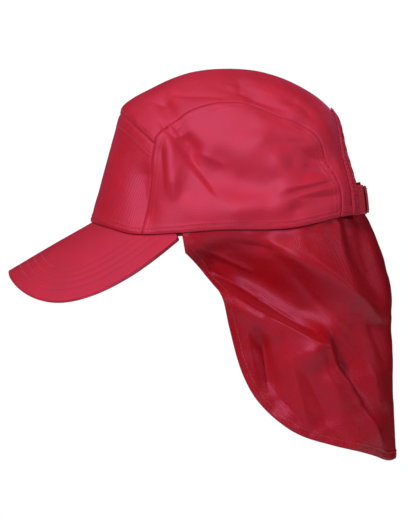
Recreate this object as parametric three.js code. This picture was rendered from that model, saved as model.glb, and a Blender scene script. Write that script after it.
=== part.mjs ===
// A legionnaire cap: a soft camp-style crown of four panels, a curved peak, an adjustable strap
// across a bound arch at the back, and a neck flap that hangs from the rim.
// Millimetres, +Z up. The peak points along -Y and +X is the wearer's left.
// The origin is the middle of the head opening, level with the rim over the ears.
import * as THREE from "three";

// Driving dimensions of the crown
const crownLength = 208;
const crownWidth = 160;
const crownHeight = 121;
const crownRoundness = 2.3;
const widestAlong = 22; // where the crown is widest, behind the middle
const widestDrop = 5; // and how far below the origin that is
const clothWall = 1.2;
const frontWall = 1.8; // the front panel is lined
const seamGap = 0.85; // between two panels
const layerGap = 0.6; // between two layers of cloth

// The arch at the back and its binding
const archWidth = 84;
const archHeight = 73; // from the rim to the top of the arch
const bindingWidth = 7;
const bindingWall = 0.8;

// The strap that closes the arch
const strapHeight = 22;
const strapWall = 1.2;
const strapAnchor = 11; // length of each end that is sewn inside the crown
const strapOverlap = 20; // half of the stretch where both ends lie on each other
const strapDrape = 20; // run over which an end comes from inside the crown to its outside
const strapTrim = 1; // how much narrower the upper end is at each edge
const strapRise = 1; // from the rim to the strap's lower edge
const strapLift = 0.6; // the under end's outer face, in from the crown's outer face

// The peak
const peakHalfWidth = 80;
const peakReach = 62; // from the front of the rim to the tip, along Y
const peakSlope = 0.606; // fall per millimetre forward
const peakSideDrop = 58; // how far its sides fall below its middle line
const peakWall = 3;
const peakSeat = 0.8; // gap between its seam edge and the rim
const peakSquareness = 2.45;
const peakCornerAhead = 39; // how far ahead of the origin its corners meet the rim
const peakRoundShare = 0.78; // share of its edge that is the blunt oval
const peakWidestShare = 0.55; // where that oval starts, from the corner to the front of the rim
const peakCornerTurn = 1.6; // how late its edge comes in to the corner

// The sweatband and the neck flap
const bandHeight = 28;
const bandWall = 1.2;
const bandDrop = 1.5; // how far it shows below the rim
const flapWall = 1;
const layerRun = 10; // run over which the flap passes from one layer to the next
const flapTuck = 8; // the part of the flap inside the crown
const flapStand = 24; // how far its top edge stands above the rim inside the arch
const flapBulge = 9.6; // how far the back of the flap swells behind a straight fall
const flapLength = 184; // from the rim to the hem at the back

// The crown's outline seen from the side: shares of crownLength along Y and crownHeight up
const sideOutline = [
  { name: "front_foot", along: -0.5115, up: -0.0413 },
  { name: "crossing_seam", along: -0.3894, up: 0.7149 },
  { name: "lip", along: -0.376, up: 0.772 },
  { name: "brow", along: -0.274, up: 0.8826 },
  { name: "front_top", along: -0.173, up: 0.958 },
  { name: "top", along: -0.0183, up: 1 },
  { name: "back_top", along: 0.134, up: 0.9736 },
  { name: "back_slope", along: 0.242, up: 0.905 },
  { name: "arch_top", along: 0.372, up: 0.742 },
  { name: "arch_middle", along: 0.437, up: 0.512 },
  { name: "strap_top", along: 0.49, up: 0.29 },
  { name: "strap_foot", along: 0.504, up: 0.1 },
  { name: "back_foot", along: 0.504, up: -0.0413 },
];

// The rim seen from the side: shares of crownLength along Y and crownHeight up
const rimLine = [
  { along: -0.52, up: 0.066 },
  { along: -0.466, up: 0.0347 },
  { along: -0.423, up: 0.0116 },
  { along: -0.343, up: -0.0248 },
  { along: -0.189, up: -0.0223 },
  { along: -0.029, up: -0.002 },
  { along: 0.146, up: 0 },
  { along: 0.229, up: 0.0099 },
  { along: 0.316, up: 0.0413 },
  { along: 0.4125, up: 0.081 },
  { along: 0.5, up: 0.102 },
];

// The seam round the top of each side panel: the angle about the widest point, from the front,
// and the share of the way from there to the outline
const sideSeam = [
  { angle: 41, share: 0.744 },
  { angle: 56, share: 0.778 },
  { angle: 71, share: 0.792 },
  { angle: 87, share: 0.797 },
  { angle: 99, share: 0.776 },
  { angle: 115, share: 0.79 },
  { angle: 130, share: 0.787 },
  { angle: 149, share: 0.785 },
  { angle: 168, share: 0.738 },
];
const frontSeamFootShare = 0.676; // the same share where the front panel's side seam meets the rim

// Folds of the crown, both sides alike: ends as shares of crownLength along Y and crownHeight up,
// half-width and height (a dent is negative) as shares of crownHeight
const crownFolds = [
  { name: "corner_dent", y0: -0.23, z0: 0.77, y1: -0.13, z1: 0.5, width: 0.05, height: -0.028 },
  { name: "corner_rib", y0: -0.2, z0: 0.66, y1: -0.2, z1: 0.3, width: 0.045, height: 0.014 },
  { name: "side_hollow", y0: -0.12, z0: 0.48, y1: 0.02, z1: 0.28, width: 0.11, height: -0.03 },
  { name: "side_swell", y0: -0.1, z0: 0.1, y1: 0.16, z1: 0.13, width: 0.1, height: 0.018 },
  { name: "front_seam_dent", y0: -0.3, z0: 0.32, y1: -0.31, z1: 0.1, width: 0.07, height: -0.022 },
  { name: "back_dent", y0: 0.17, z0: 0.5, y1: 0.37, z1: 0.42, width: 0.08, height: -0.028 },
  { name: "strap_rib", y0: 0.18, z0: 0.24, y1: 0.37, z1: 0.33, width: 0.05, height: 0.018 },
  { name: "strap_dent", y0: 0.24, z0: 0.13, y1: 0.39, z1: 0.2, width: 0.045, height: -0.022 },
  { name: "top_dent", y0: 0.05, z0: 0.89, y1: 0.23, z1: 0.79, width: 0.035, height: -0.02 },
];

// The free edge of the flap from its front corner round to the middle of the back: around is 1 at
// the front and 0 at the back, along and down are shares of crownLength and flapLength, out is a
// share of half the crown's width
const flapEdge = [
  { around: 1, along: -0.151, down: -0.094, out: 0.965 },
  { around: 0.92, along: -0.083, down: -0.176, out: 0.965 },
  { around: 0.84, along: -0.022, down: -0.273, out: 0.955 },
  { around: 0.76, along: 0.007, down: -0.408, out: 0.95 },
  { around: 0.68, along: 0.047, down: -0.571, out: 0.93 },
  { around: 0.6, along: 0.108, down: -0.693, out: 0.9 },
  { around: 0.5, along: 0.224, down: -0.807, out: 0.84 },
  { around: 0.36, along: 0.368, down: -0.868, out: 0.7 },
  { around: 0.2, along: 0.516, down: -0.913, out: 0.42 },
  { around: 0.1, along: 0.575, down: -0.935, out: 0.2 },
  { around: 0, along: 0.606, down: -0.93, out: 0 },
];

// Where each part of that edge hangs from on the rim, as a share of crownLength along Y
const flapRim = [
  { around: 1, along: -0.168 },
  { around: 0.92, along: -0.09 },
  { around: 0.84, along: -0.022 },
  { around: 0.76, along: 0.03 },
  { around: 0.68, along: 0.08 },
  { around: 0.6, along: 0.135 },
  { around: 0.5, along: 0.22 },
];
const flapBackAround = 0.5; // behind this the flap's stations go round by angle

// How the back of the flap swells down its length, as shares of flapBulge
const flapSwell = [
  { down: 0, back: 0, out: 0 },
  { down: 0.1, back: 0.62, out: -0.2 },
  { down: 0.22, back: 1, out: -0.3 },
  { down: 0.45, back: 0.75, out: 0.1 },
  { down: 0.7, back: 0.45, out: 0.35 },
  { down: 1, back: 0, out: 0 },
];

// Folds of the flap seen from the side: ends as shares of crownLength along Y and flapLength down,
// half-width and height (a valley is negative) as shares of flapLength
const flapFolds = [
  { name: "front_hollow", y0: -0.05, z0: -0.14, y1: 0.3, z1: -0.33, width: 0.1, height: -0.06 },
  { name: "front_ridge", y0: 0.03, z0: -0.28, y1: 0.3, z1: -0.44, width: 0.07, height: 0.04 },
  { name: "upper_ridge", y0: 0.2, z0: -0.08, y1: 0.46, z1: -0.32, width: 0.07, height: 0.035 },
  { name: "back_hollow", y0: 0.38, z0: -0.36, y1: 0.45, z1: -0.7, width: 0.085, height: -0.05 },
  { name: "long_ridge", y0: 0.29, z0: -0.5, y1: 0.45, z1: -0.84, width: 0.06, height: 0.035 },
  { name: "low_valley", y0: 0.13, z0: -0.48, y1: 0.18, z1: -0.68, width: 0.055, height: -0.022 },
  { name: "back_ridge", y0: 0.5, z0: -0.25, y1: 0.54, z1: -0.75, width: 0.06, height: 0.03 },
];
const flapBackFolds = 0.15; // share of a fold's height that is left at the middle of the back

// Mesh steps
const sideColumns = 26;
const sideRows = 12;
const archColumns = 26; // of the top panel, and steps of the binding
const legColumns = 3; // of each leg of the top panel beside the arch
const archShare = 0.78; // share of the top panel's spread that ends on the arch
const topRows = 17;
const frontColumns = 14;
const frontRows = 8;
const flapColumns = 44;
const flapRows = 22;
const peakColumns = 20;
const peakRows = 8;
const bandColumns = 40;
const bandRows = 3;
const strapSteps = 18;
const strapRows = 2;

const halfWidth = crownWidth / 2;
const widest = { y: widestAlong, z: -widestDrop };
const rightAngle = Math.PI / 2;
const radians = THREE.MathUtils.degToRad;

const mix = (a, b, t) => a + (b - a) * t;

function easeBetween(from, to, value) {
  const t = THREE.MathUtils.clamp((value - from) / (to - from), 0, 1);
  return t * t * (3 - 2 * t);
}

// A smooth curve through a table's rows, sorted by one column and read from another.
function curveThrough(rows, by, column) {
  const points = rows
    .map((row) => ({ at: row[by], value: row[column] }))
    .sort((a, b) => a.at - b.at);
  const last = points.length - 1;
  const slopes = points.map((point, i) => {
    const before = points[Math.max(i - 1, 0)];
    const after = points[Math.min(i + 1, last)];
    return (after.value - before.value) / (after.at - before.at);
  });
  return (at) => {
    if (at <= points[0].at) return points[0].value + slopes[0] * (at - points[0].at);
    if (at >= points[last].at) return points[last].value + slopes[last] * (at - points[last].at);
    const i = points.findIndex((point) => point.at > at) - 1;
    const span = points[i + 1].at - points[i].at;
    const t = (at - points[i].at) / span;
    const turn = t * t * (3 - 2 * t);
    const rise = t * (1 - t) * span;
    return (
      mix(points[i].value, points[i + 1].value, turn) +
      rise * ((1 - t) * slopes[i] - t * slopes[i + 1])
    );
  };
}

// Halves a bracket until it closes on where test turns from true to false.
function bisect(low, high, test) {
  for (let i = 0; i < 40; i += 1) {
    const middle = (low + high) / 2;
    if (test(middle)) low = middle;
    else high = middle;
  }
  return (low + high) / 2;
}

// The outline about the widest point: angle from the front over the top, and reach
const outlinePolar = sideOutline.map((row) => {
  const y = row.along * crownLength - widest.y;
  const z = row.up * crownHeight - widest.z;
  return { name: row.name, y, z, angle: Math.atan2(z, -y), reach: Math.hypot(y, z) };
});
const [frontFoot, frontCorner] = outlinePolar;
const crossingAngle = frontCorner.angle;
const roundedReach = curveThrough(outlinePolar.slice(1), "angle", "reach");

function outlineReach(angle) {
  if (angle >= crossingAngle) return roundedReach(angle);
  const dy = frontCorner.y - frontFoot.y;
  const dz = frontCorner.z - frontFoot.z;
  const cross = frontFoot.y * dz - frontFoot.z * dy;
  return cross / (-Math.cos(angle) * dz - Math.sin(angle) * dy);
}

const seamShareAt = curveThrough(sideSeam, "angle", "share");
const seamShare = (angle) => seamShareAt(THREE.MathUtils.radToDeg(angle));
const rimUp = curveThrough(rimLine, "along", "up");
const rimHeight = (y) => rimUp(y / crownLength) * crownHeight;

const frontRimAngle = 0.02;
function frontSeamShare(angle) {
  const t = (angle - frontRimAngle) / (crossingAngle - frontRimAngle);
  return mix(frontSeamFootShare, seamShare(crossingAngle), t);
}

const outAt = (share) =>
  halfWidth * (1 - Math.min(share, 1) ** crownRoundness) ** (1 / crownRoundness);
const shareAtOut = (x) =>
  (1 - Math.min(Math.abs(x) / halfWidth, 1) ** crownRoundness) ** (1 / crownRoundness);
const rimAtArch = rimHeight((shareAtOut(archWidth / 2) * crownLength) / 2);

// 1 on the crown's outer face, less inside.
function crownField(x, y, z) {
  const dy = y - widest.y;
  const dz = z - widest.z;
  const share = Math.hypot(dy, dz) / outlineReach(Math.atan2(Math.max(dz, 0), -dy));
  return share ** crownRoundness + (Math.abs(x) / halfWidth) ** crownRoundness;
}

function outwards(x, y, z) {
  const e = 0.02;
  return new THREE.Vector3(
    crownField(x + e, y, z) - crownField(x - e, y, z),
    crownField(x, y + e, z) - crownField(x, y - e, z),
    crownField(x, y, z + e) - crownField(x, y, z - e),
  ).normalize();
}

// The sum of a table's folds at a place seen from the side.
function foldHeight(folds, y, z, scaleY, scaleZ) {
  let sum = 0;
  for (const fold of folds) {
    const from = { y: fold.y0 * scaleY, z: fold.z0 * scaleZ };
    const to = { y: fold.y1 * scaleY, z: fold.z1 * scaleZ };
    const run = { y: to.y - from.y, z: to.z - from.z };
    const length = Math.hypot(run.y, run.z);
    const t = ((y - from.y) * run.y + (z - from.z) * run.z) / (length * length);
    const clamped = THREE.MathUtils.clamp(t, 0, 1);
    const away = Math.hypot(y - from.y - run.y * clamped, z - from.z - run.z * clamped);
    const width = fold.width * scaleZ;
    sum += fold.height * scaleZ * Math.exp(-((away / width) ** 2));
  }
  return sum;
}

// A point of the crown, in from its outer face, from its place seen from the side.
function crownFromSide(y, z, side, inward) {
  const dy = y - widest.y;
  const dz = z - widest.z;
  const share = Math.hypot(dy, dz) / outlineReach(Math.atan2(Math.max(dz, 0), -dy));
  const x = side * outAt(share);
  return moved(x, y, z, inward);
}

function crownFromAngle(angle, share, side, inward) {
  const reach = outlineReach(angle) * share;
  const y = widest.y - reach * Math.cos(angle);
  const z = widest.z + reach * Math.sin(angle);
  return moved(side * outAt(share), y, z, inward);
}

// How far outside the arch's edge a place on the back is.
function awayFromArch(x, y, z) {
  if (y < 0) return crownLength;
  const share = Math.hypot(x / (archWidth / 2), (z - rimAtArch) / archHeight);
  return ((share - 1) * archWidth) / 2;
}

// A point of the unfolded crown moved to its fold and in through the wall.
function moved(x, y, z, inward) {
  const normal = outwards(x, y, z);
  const free = easeBetween(1.5 * bindingWidth, 4 * bindingWidth, awayFromArch(x, y, z));
  const fold = free * foldHeight(crownFolds, y, z, crownLength, crownHeight);
  return new THREE.Vector3(x, y, z).addScaledVector(normal, fold - inward);
}

// The crown's outer face at a height, straight out from the Z axis at an angle from the front.
function crownRing(turn, height, inward) {
  const x = Math.sin(turn);
  const y = -Math.cos(turn);
  const radius = bisect(0, crownLength, (r) => crownField(x * r, y * r, height) < 1);
  return moved(x * radius, y * radius, height, inward);
}

const turnAlong = (y) =>
  bisect(0, Math.PI, (turn) => crownRing(turn, rimHeight(y), 0).y < y);

// The angle about the widest point of a place on the back, from how far out and how high it is.
function backAngle(x, z) {
  const share = shareAtOut(x);
  return bisect(rightAngle, Math.PI, (angle) => {
    return widest.z + outlineReach(angle) * share * Math.sin(angle) > z;
  });
}

function crownBack(x, z, inward) {
  return crownFromAngle(backAngle(x, z), shareAtOut(x), x < 0 ? -1 : 1, inward);
}

// A closed wall from two faces, given as grids of points with the outer face first.
function wallGeometry(columns, rows, outerAt, innerAt) {
  const positions = [];
  for (const faceAt of [outerAt, innerAt]) {
    for (let j = 0; j <= rows; j += 1) {
      for (let i = 0; i <= columns; i += 1) {
        positions.push(...faceAt(i / columns, j / rows).toArray());
      }
    }
  }
  const face = (columns + 1) * (rows + 1);
  const at = (i, j, layer) => layer * face + j * (columns + 1) + i;
  const index = [];
  const quad = (a, b, c, d) => index.push(a, b, c, a, c, d);
  for (let j = 0; j < rows; j += 1) {
    for (let i = 0; i < columns; i += 1) {
      quad(at(i, j, 0), at(i + 1, j, 0), at(i + 1, j + 1, 0), at(i, j + 1, 0));
      quad(at(i, j, 1), at(i, j + 1, 1), at(i + 1, j + 1, 1), at(i + 1, j, 1));
    }
  }
  for (let i = 0; i < columns; i += 1) {
    quad(at(i + 1, 0, 0), at(i, 0, 0), at(i, 0, 1), at(i + 1, 0, 1));
    quad(at(i, rows, 0), at(i + 1, rows, 0), at(i + 1, rows, 1), at(i, rows, 1));
  }
  for (let j = 0; j < rows; j += 1) {
    quad(at(0, j, 0), at(0, j + 1, 0), at(0, j + 1, 1), at(0, j, 1));
    quad(at(columns, j + 1, 0), at(columns, j, 0), at(columns, j, 1), at(columns, j + 1, 1));
  }
  return closedGeometry(positions, index);
}

// A closed bar from a ring of points that is carried along a path.
function barGeometry(steps, ringAt) {
  const positions = [];
  const index = [];
  let around = 0;
  for (let k = 0; k <= steps; k += 1) {
    const ring = ringAt(k / steps);
    around = ring.length;
    ring.forEach((point) => positions.push(...point.toArray()));
  }
  for (let k = 0; k < steps; k += 1) {
    for (let n = 0; n < around; n += 1) {
      const next = (n + 1) % around;
      const [a, b] = [k * around + n, k * around + next];
      index.push(a, b, b + around, a, b + around, a + around);
    }
  }
  return { positions, index, around };
}

function closedGeometry(positions, index) {
  const geometry = new THREE.BufferGeometry();
  geometry.setAttribute("position", new THREE.Float32BufferAttribute(positions, 3));
  geometry.setIndex(index);
  if (signedVolume(positions, index) < 0) {
    for (let n = 0; n < index.length; n += 3) {
      [index[n + 1], index[n + 2]] = [index[n + 2], index[n + 1]];
    }
    geometry.setIndex(index);
  }
  geometry.computeVertexNormals();
  return geometry;
}

function signedVolume(positions, index) {
  const corner = (n) => new THREE.Vector3().fromArray(positions, index[n] * 3);
  let volume = 0;
  for (let n = 0; n < index.length; n += 3) {
    volume += corner(n).dot(corner(n + 1).cross(corner(n + 2))) / 6;
  }
  return volume;
}

// Side panels: a D shape between the rim, the front seam and the seam under the top panel
function sidePanelGeometry(side) {
  const inset = seamGap / 2;
  const seamPoint = (angle, share) => {
    const reach = outlineReach(angle) * share - inset;
    return { y: widest.y - reach * Math.cos(angle), z: widest.z + reach * Math.sin(angle) };
  };
  const rimMeets = (shareAt, low, high, rising) =>
    bisect(low, high, (angle) => {
      const point = seamPoint(angle, shareAt(angle));
      return point.z < rimHeight(point.y) === rising;
    });
  const frontAngle = rimMeets(frontSeamShare, 0, crossingAngle, true);
  const backFoot = rimMeets(seamShare, rightAngle, Math.PI, false);
  const shoulder = radians(137); // the D's lower back corner starts here
  const frontEdge = (v) => {
    const angle = mix(frontAngle, crossingAngle, v);
    return seamPoint(angle, frontSeamShare(angle));
  };
  const backEdge = (v) => {
    const angle = mix(backFoot, shoulder, v);
    return seamPoint(angle, seamShare(angle));
  };
  const topEdge = (u) => {
    const angle = mix(crossingAngle, shoulder, u);
    return seamPoint(angle, seamShare(angle));
  };
  const rimEdge = (u) => {
    const y = mix(frontEdge(0).y, backEdge(0).y, u);
    return { y, z: rimHeight(y) };
  };
  const corners = [rimEdge(0), rimEdge(1), topEdge(0), topEdge(1)];
  const patch = (u, v, key) =>
    mix(rimEdge(u)[key], topEdge(u)[key], v) +
    mix(frontEdge(v)[key], backEdge(v)[key], u) -
    mix(mix(corners[0][key], corners[1][key], u), mix(corners[2][key], corners[3][key], u), v);
  const faceAt = (inward) => (u, v) =>
    crownFromSide(patch(u, v, "y"), patch(u, v, "z"), side, inward);
  return wallGeometry(sideColumns, sideRows, faceAt(0), faceAt(clothWall));
}

// Front panel: from the rim up to the crossing seam, and round to both side seams
function frontPanelGeometry() {
  const spreadAt = (angle) => {
    const share = frontSeamShare(angle) + seamGap / 2 / outlineReach(angle);
    return Math.acos((outAt(share) / halfWidth) ** (crownRoundness / 2));
  };
  const faceAt = (inward) => (u, v) => {
    const across = 2 * u - 1;
    const place = (angle) => {
      const spread = rightAngle - spreadAt(angle);
      const turn = rightAngle - Math.abs(across) * spread;
      return Math.sin(turn) ** (2 / crownRoundness);
    };
    const foot = bisect(0, crossingAngle, (angle) => {
      const reach = outlineReach(angle) * place(angle);
      return widest.z + reach * Math.sin(angle) < rimHeight(widest.y - reach * Math.cos(angle));
    });
    const topAngle = crossingAngle - seamGap / 2 / frontCorner.reach;
    const angle = mix(foot, topAngle, v);
    return crownFromAngle(angle, place(angle), Math.sign(across) || 1, inward);
  };
  return wallGeometry(frontColumns, frontRows, faceAt(0), faceAt(frontWall));
}

// How far a place is from the middle line (0) to the side seam (1), at an angle
function acrossOf(angle, share) {
  const turn = (s) => Math.asin(Math.min(s, 1) ** (crownRoundness / 2));
  const seam = turn(seamShare(angle) + seamGap / 2 / outlineReach(angle));
  return (rightAngle - turn(share)) / (rightAngle - seam);
}

function shareAcross(angle, across) {
  const seam = Math.asin(
    (seamShare(angle) + seamGap / 2 / outlineReach(angle)) ** (crownRoundness / 2),
  );
  const turn = rightAngle - Math.abs(across) * (rightAngle - seam);
  return Math.sin(turn) ** (2 / crownRoundness);
}

// The arch seen from behind: turn is 0 at its top and a right angle at either foot
function archPoint(turn, grown) {
  return {
    x: (archWidth / 2 + grown) * Math.sin(turn),
    z: rimAtArch + (archHeight + grown) * Math.cos(turn),
  };
}

// Top panel: from the crossing seam over the top, ending at the arch and in a leg on each side
function topPanelGeometry() {
  const startAngle = crossingAngle + seamGap / 2 / frontCorner.reach;
  const endOf = (across) => {
    const away = Math.abs(across);
    if (away <= archShare) {
      const point = archPoint((away / archShare) * rightAngle, 0);
      return { angle: backAngle(point.x, point.z), share: shareAtOut(point.x) };
    }
    const legOut = (away - archShare) / (1 - archShare);
    const seamFoot = bisect(rightAngle, Math.PI, (angle) => {
      const reach = outlineReach(angle) * seamShare(angle);
      return widest.z + reach * Math.sin(angle) > rimHeight(widest.y - reach * Math.cos(angle));
    });
    const seamOut = outAt(seamShare(seamFoot) + seamGap / 2 / outlineReach(seamFoot));
    const x = mix(archWidth / 2, seamOut, legOut);
    const share = shareAtOut(x);
    const angle = bisect(rightAngle, Math.PI, (a) => {
      const reach = outlineReach(a) * share;
      return widest.z + reach * Math.sin(a) > rimHeight(widest.y - reach * Math.cos(a));
    });
    return { angle, share };
  };
  const columns = archColumns + 2 * legColumns;
  const spreadOf = (u) => {
    const step = (2 * u - 1) * (archColumns / 2 + legColumns);
    const onLeg = Math.abs(step) - archColumns / 2;
    if (onLeg <= 0) return (step / archColumns) * 2 * archShare;
    return Math.sign(step) * (archShare + (onLeg / legColumns) * (1 - archShare));
  };
  const faceAt = (inward) => (u, v) => {
    const across = spreadOf(u);
    const end = endOf(across);
    const down = v * mix(0.75, 1, v); // closer rows at the front
    const angle = mix(startAngle, end.angle, down);
    const endAcross = acrossOf(end.angle, end.share);
    const away = mix(Math.abs(across), endAcross, down ** 2);
    return crownFromAngle(angle, shareAcross(angle, away), Math.sign(across) || 1, inward);
  };
  return wallGeometry(columns, topRows, faceAt(0), faceAt(clothWall));
}

// The binding folds over the arch's edge: a U section carried round the arch
function bindingGeometry() {
  const lip = layerGap + bindingWall;
  const section = [
    { away: bindingWidth, inward: -lip },
    { away: -lip, inward: -lip },
    { away: -lip, inward: clothWall + lip },
    { away: bindingWidth, inward: clothWall + lip },
    { away: bindingWidth, inward: clothWall + layerGap },
    { away: -layerGap, inward: clothWall + layerGap },
    { away: -layerGap, inward: -layerGap },
    { away: bindingWidth, inward: -layerGap },
  ];
  const bar = barGeometry(archColumns, (t) => {
    const turn = mix(-rightAngle, rightAngle, t);
    return section.map((corner) => {
      const point = archPoint(turn, corner.away);
      return crownBack(point.x, point.z, corner.inward);
    });
  });
  // The ends of a U are three quads each
  const capQuads = [
    [0, 1, 6, 7],
    [1, 2, 5, 6],
    [2, 3, 4, 5],
  ];
  const last = archColumns * bar.around;
  for (const [a, b, c, d] of capQuads) {
    bar.index.push(a, c, b, a, d, c);
    bar.index.push(last + a, last + b, last + c, last + a, last + c, last + d);
  }
  return closedGeometry(bar.positions, bar.index);
}

// The rim's layers at the back, from the crown's outer face inwards
const strapInside = clothWall + 2 * layerGap + bindingWall + layerGap;
const strapFoot = rimAtArch + strapRise;
const anchorOut = archWidth / 2 + strapAnchor;

// One end of the strap: sewn inside the crown at its own side, outside the arch's middle
function strapGeometry(side, lift, trim) {
  const faceAt = (inner) => (u, v) => {
    const out = mix(anchorOut, -strapOverlap, u);
    const tucked = easeBetween(archWidth / 2 - strapDrape, archWidth / 2, out);
    const inward = mix(lift, strapInside, tucked) + (inner ? strapWall : 0);
    const height = strapFoot + trim + v * (strapHeight - 2 * trim);
    return crownBack(side * out, height, inward);
  };
  return wallGeometry(strapSteps, strapRows, faceAt(false), faceAt(true));
}

// How far in the flap's outer face lies where it passes the rim
const flapInsideSides = clothWall + layerGap;
const flapInsideStrap = strapInside + strapWall + layerGap;
const flapInsideMiddle = strapLift + strapWall + layerGap;

function flapInward(x, y) {
  if (y < 0) return flapInsideSides;
  const out = Math.abs(x);
  const pastStrap = easeBetween(anchorOut, anchorOut + layerRun, out);
  const atFoot = easeBetween(archWidth / 2 - strapDrape, archWidth / 2, out);
  return mix(mix(flapInsideMiddle, flapInsideStrap, atFoot), flapInsideSides, pastStrap);
}

// Plan angle, from the front, of each flap station
const flapRimAlong = curveThrough(flapRim, "around", "along");
const flapBackTurn = turnAlong(flapRimAlong(flapBackAround) * crownLength);

function flapTurn(around) {
  if (around >= flapBackAround) return turnAlong(flapRimAlong(around) * crownLength);
  return mix(Math.PI, flapBackTurn, around / flapBackAround);
}

const edgeAlong = curveThrough(flapEdge, "around", "along");
const edgeDown = curveThrough(flapEdge, "around", "down");
const edgeOut = curveThrough(flapEdge, "around", "out");
const swellBack = curveThrough(flapSwell, "down", "back");
const swellOut = curveThrough(flapSwell, "down", "out");

// The flap's stations as a table made once: top edge, rim and free edge of each
const flapStations = [];
for (let i = 0; i <= flapColumns; i += 1) {
  const across = 1 - (2 * i) / flapColumns;
  const around = Math.abs(across);
  const side = across < 0 ? -1 : 1;
  const turn = flapTurn(around);
  const rimPoint = crownRing(turn, 0, 0);
  const rimZ = rimHeight(rimPoint.y);
  const inward = flapInward(rimPoint.x, rimPoint.y);
  const inArch = 1 - easeBetween(archWidth / 2 - layerRun / 2, archWidth / 2 + layerRun, rimPoint.x);
  const top = crownRing(turn, rimZ + mix(flapTuck, flapStand, rimPoint.y > 0 ? inArch : 0), 0);
  const rim = crownRing(turn, rimZ, 0);
  for (const point of [top, rim]) {
    point.addScaledVector(outwards(point.x, point.y, point.z), -inward);
    point.x *= side;
  }
  const edge = new THREE.Vector3(
    side * edgeOut(around) * halfWidth,
    edgeAlong(around) * crownLength,
    edgeDown(around) * flapLength,
  );
  const back = easeBetween(0.75, 0, around);
  flapStations.push({ side, around, back, top, rim, edge });
}

const tuckShare = 2 / flapRows; // the rows of the mesh that lie inside the crown

function flapBase(i, v) {
  const station = flapStations[i];
  if (v <= tuckShare) return station.top.clone().lerp(station.rim, v / tuckShare);
  const t = (v - tuckShare) / (1 - tuckShare);
  const point = station.rim.clone().lerp(station.edge, t);
  const length = station.rim.distanceTo(station.edge) / flapLength;
  const outward = new THREE.Vector3(station.side * (1 - station.back), station.back, 0);
  outward.normalize();
  const swell = mix(swellOut(t), swellBack(t), station.back) * flapBulge * length;
  const kept = mix(1, flapBackFolds, station.back);
  const fold = kept * foldHeight(flapFolds, point.y, point.z, crownLength, flapLength);
  const free = easeBetween(bandDrop, 0.14 * flapLength, station.rim.distanceTo(point));
  return point.addScaledVector(outward, swell + fold * free);
}

function flapGeometry() {
  const normalAt = (i, v) => {
    const step = 0.5 / flapRows;
    const before = Math.max(i - 1, 0);
    const after = Math.min(i + 1, flapColumns);
    const along = flapBase(after, v).sub(flapBase(before, v));
    const down = flapBase(i, Math.min(v + step, 1)).sub(flapBase(i, Math.max(v - step, 0)));
    return down.cross(along).normalize();
  };
  const faceAt = (inner) => (u, v) => {
    const i = Math.round(u * flapColumns);
    const point = flapBase(i, v);
    return inner ? point.addScaledVector(normalAt(i, v), -flapWall) : point;
  };
  return wallGeometry(flapColumns, flapRows, faceAt(false), faceAt(true));
}

// The sweatband follows the rim inside the flap and ends beside the arch
function bandInward(x, y) {
  const atSides = flapInsideSides + flapWall + layerGap;
  if (y < 0) return atSides;
  const atFoot = flapInsideStrap + flapWall + layerGap;
  const leaves = anchorOut + layerRun;
  return mix(atFoot, atSides, easeBetween(leaves, leaves + layerRun, Math.abs(x)));
}

function sweatbandGeometry() {
  const endTurn = bisect(rightAngle, Math.PI, (turn) => {
    return crownRing(turn, rimAtArch, 0).x > archWidth / 2;
  });
  const faceAt = (inner) => (u, v) => {
    const turn = mix(-endTurn, endTurn, u);
    const foot = crownRing(turn, 0, 0);
    const rimZ = rimHeight(foot.y);
    const inward = bandInward(foot.x, foot.y) + (inner ? bandWall : 0);
    const height = rimZ - bandDrop + v * bandHeight;
    const point = crownRing(turn, height, 0);
    return point.addScaledVector(outwards(point.x, point.y, point.z), -inward);
  };
  return wallGeometry(bandColumns, bandRows, faceAt(false), faceAt(true));
}

// The peak: a board that falls forward and to both sides, seated under the rim
function peakGeometry() {
  const frontRim = crownRing(0, rimHeight(-crownLength / 2), 0);
  const cornerTurn = turnAlong(-peakCornerAhead);
  const boardHeight = (x, y) =>
    frontRim.z + (y - frontRim.y) * peakSlope - peakSideDrop * (x / peakHalfWidth) ** 2;
  const rimPoint = (across) => crownRingAtRim(across * cornerTurn);
  const corner = rimPoint(1);
  const widestAt = mix(corner.y, frontRim.y, peakWidestShare);
  const tip = frontRim.y - peakReach;
  const outerPoint = (across) => {
    const turn = Math.abs(across) * rightAngle;
    const power = 2 / peakSquareness;
    const wideX = peakHalfWidth * Math.sin(turn) ** power;
    const wideY = widestAt + (tip - widestAt) * Math.cos(turn) ** power;
    return { x: Math.sign(across) * wideX, y: wideY };
  };
  const edgePoint = (across) => {
    // The front runs round a blunt oval, and the last stretch comes in to the corner
    const away = Math.abs(across);
    if (away <= peakRoundShare) return outerPoint(across / peakRoundShare);
    const t = (away - peakRoundShare) / (1 - peakRoundShare);
    const x = mix(peakHalfWidth, corner.x + peakWall, t ** peakCornerTurn);
    return { x: Math.sign(across) * x, y: mix(widestAt, corner.y + peakSeat, t) };
  };
  const faceAt = (under) => (u, v) => {
    const across = 2 * u - 1;
    const inner = rimPoint(across);
    const outer = edgePoint(across);
    const x = mix(inner.x, outer.x, v);
    const y = mix(inner.y, outer.y, v);
    const seat = inner.z - peakSeat - boardHeight(inner.x, inner.y);
    const z = boardHeight(x, y) + seat * (1 - v) ** 2;
    const slopeX = (-2 * peakSideDrop * x) / peakHalfWidth ** 2;
    const normal = new THREE.Vector3(-slopeX, -peakSlope, 1).normalize();
    const point = new THREE.Vector3(x, y, z);
    return under ? point.addScaledVector(normal, -peakWall) : point;
  };
  return wallGeometry(peakColumns, peakRows, faceAt(false), faceAt(true));
}

function crownRingAtRim(turn) {
  const rough = crownRing(turn, 0, 0);
  return crownRing(turn, rimHeight(rough.y), 0);
}

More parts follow.
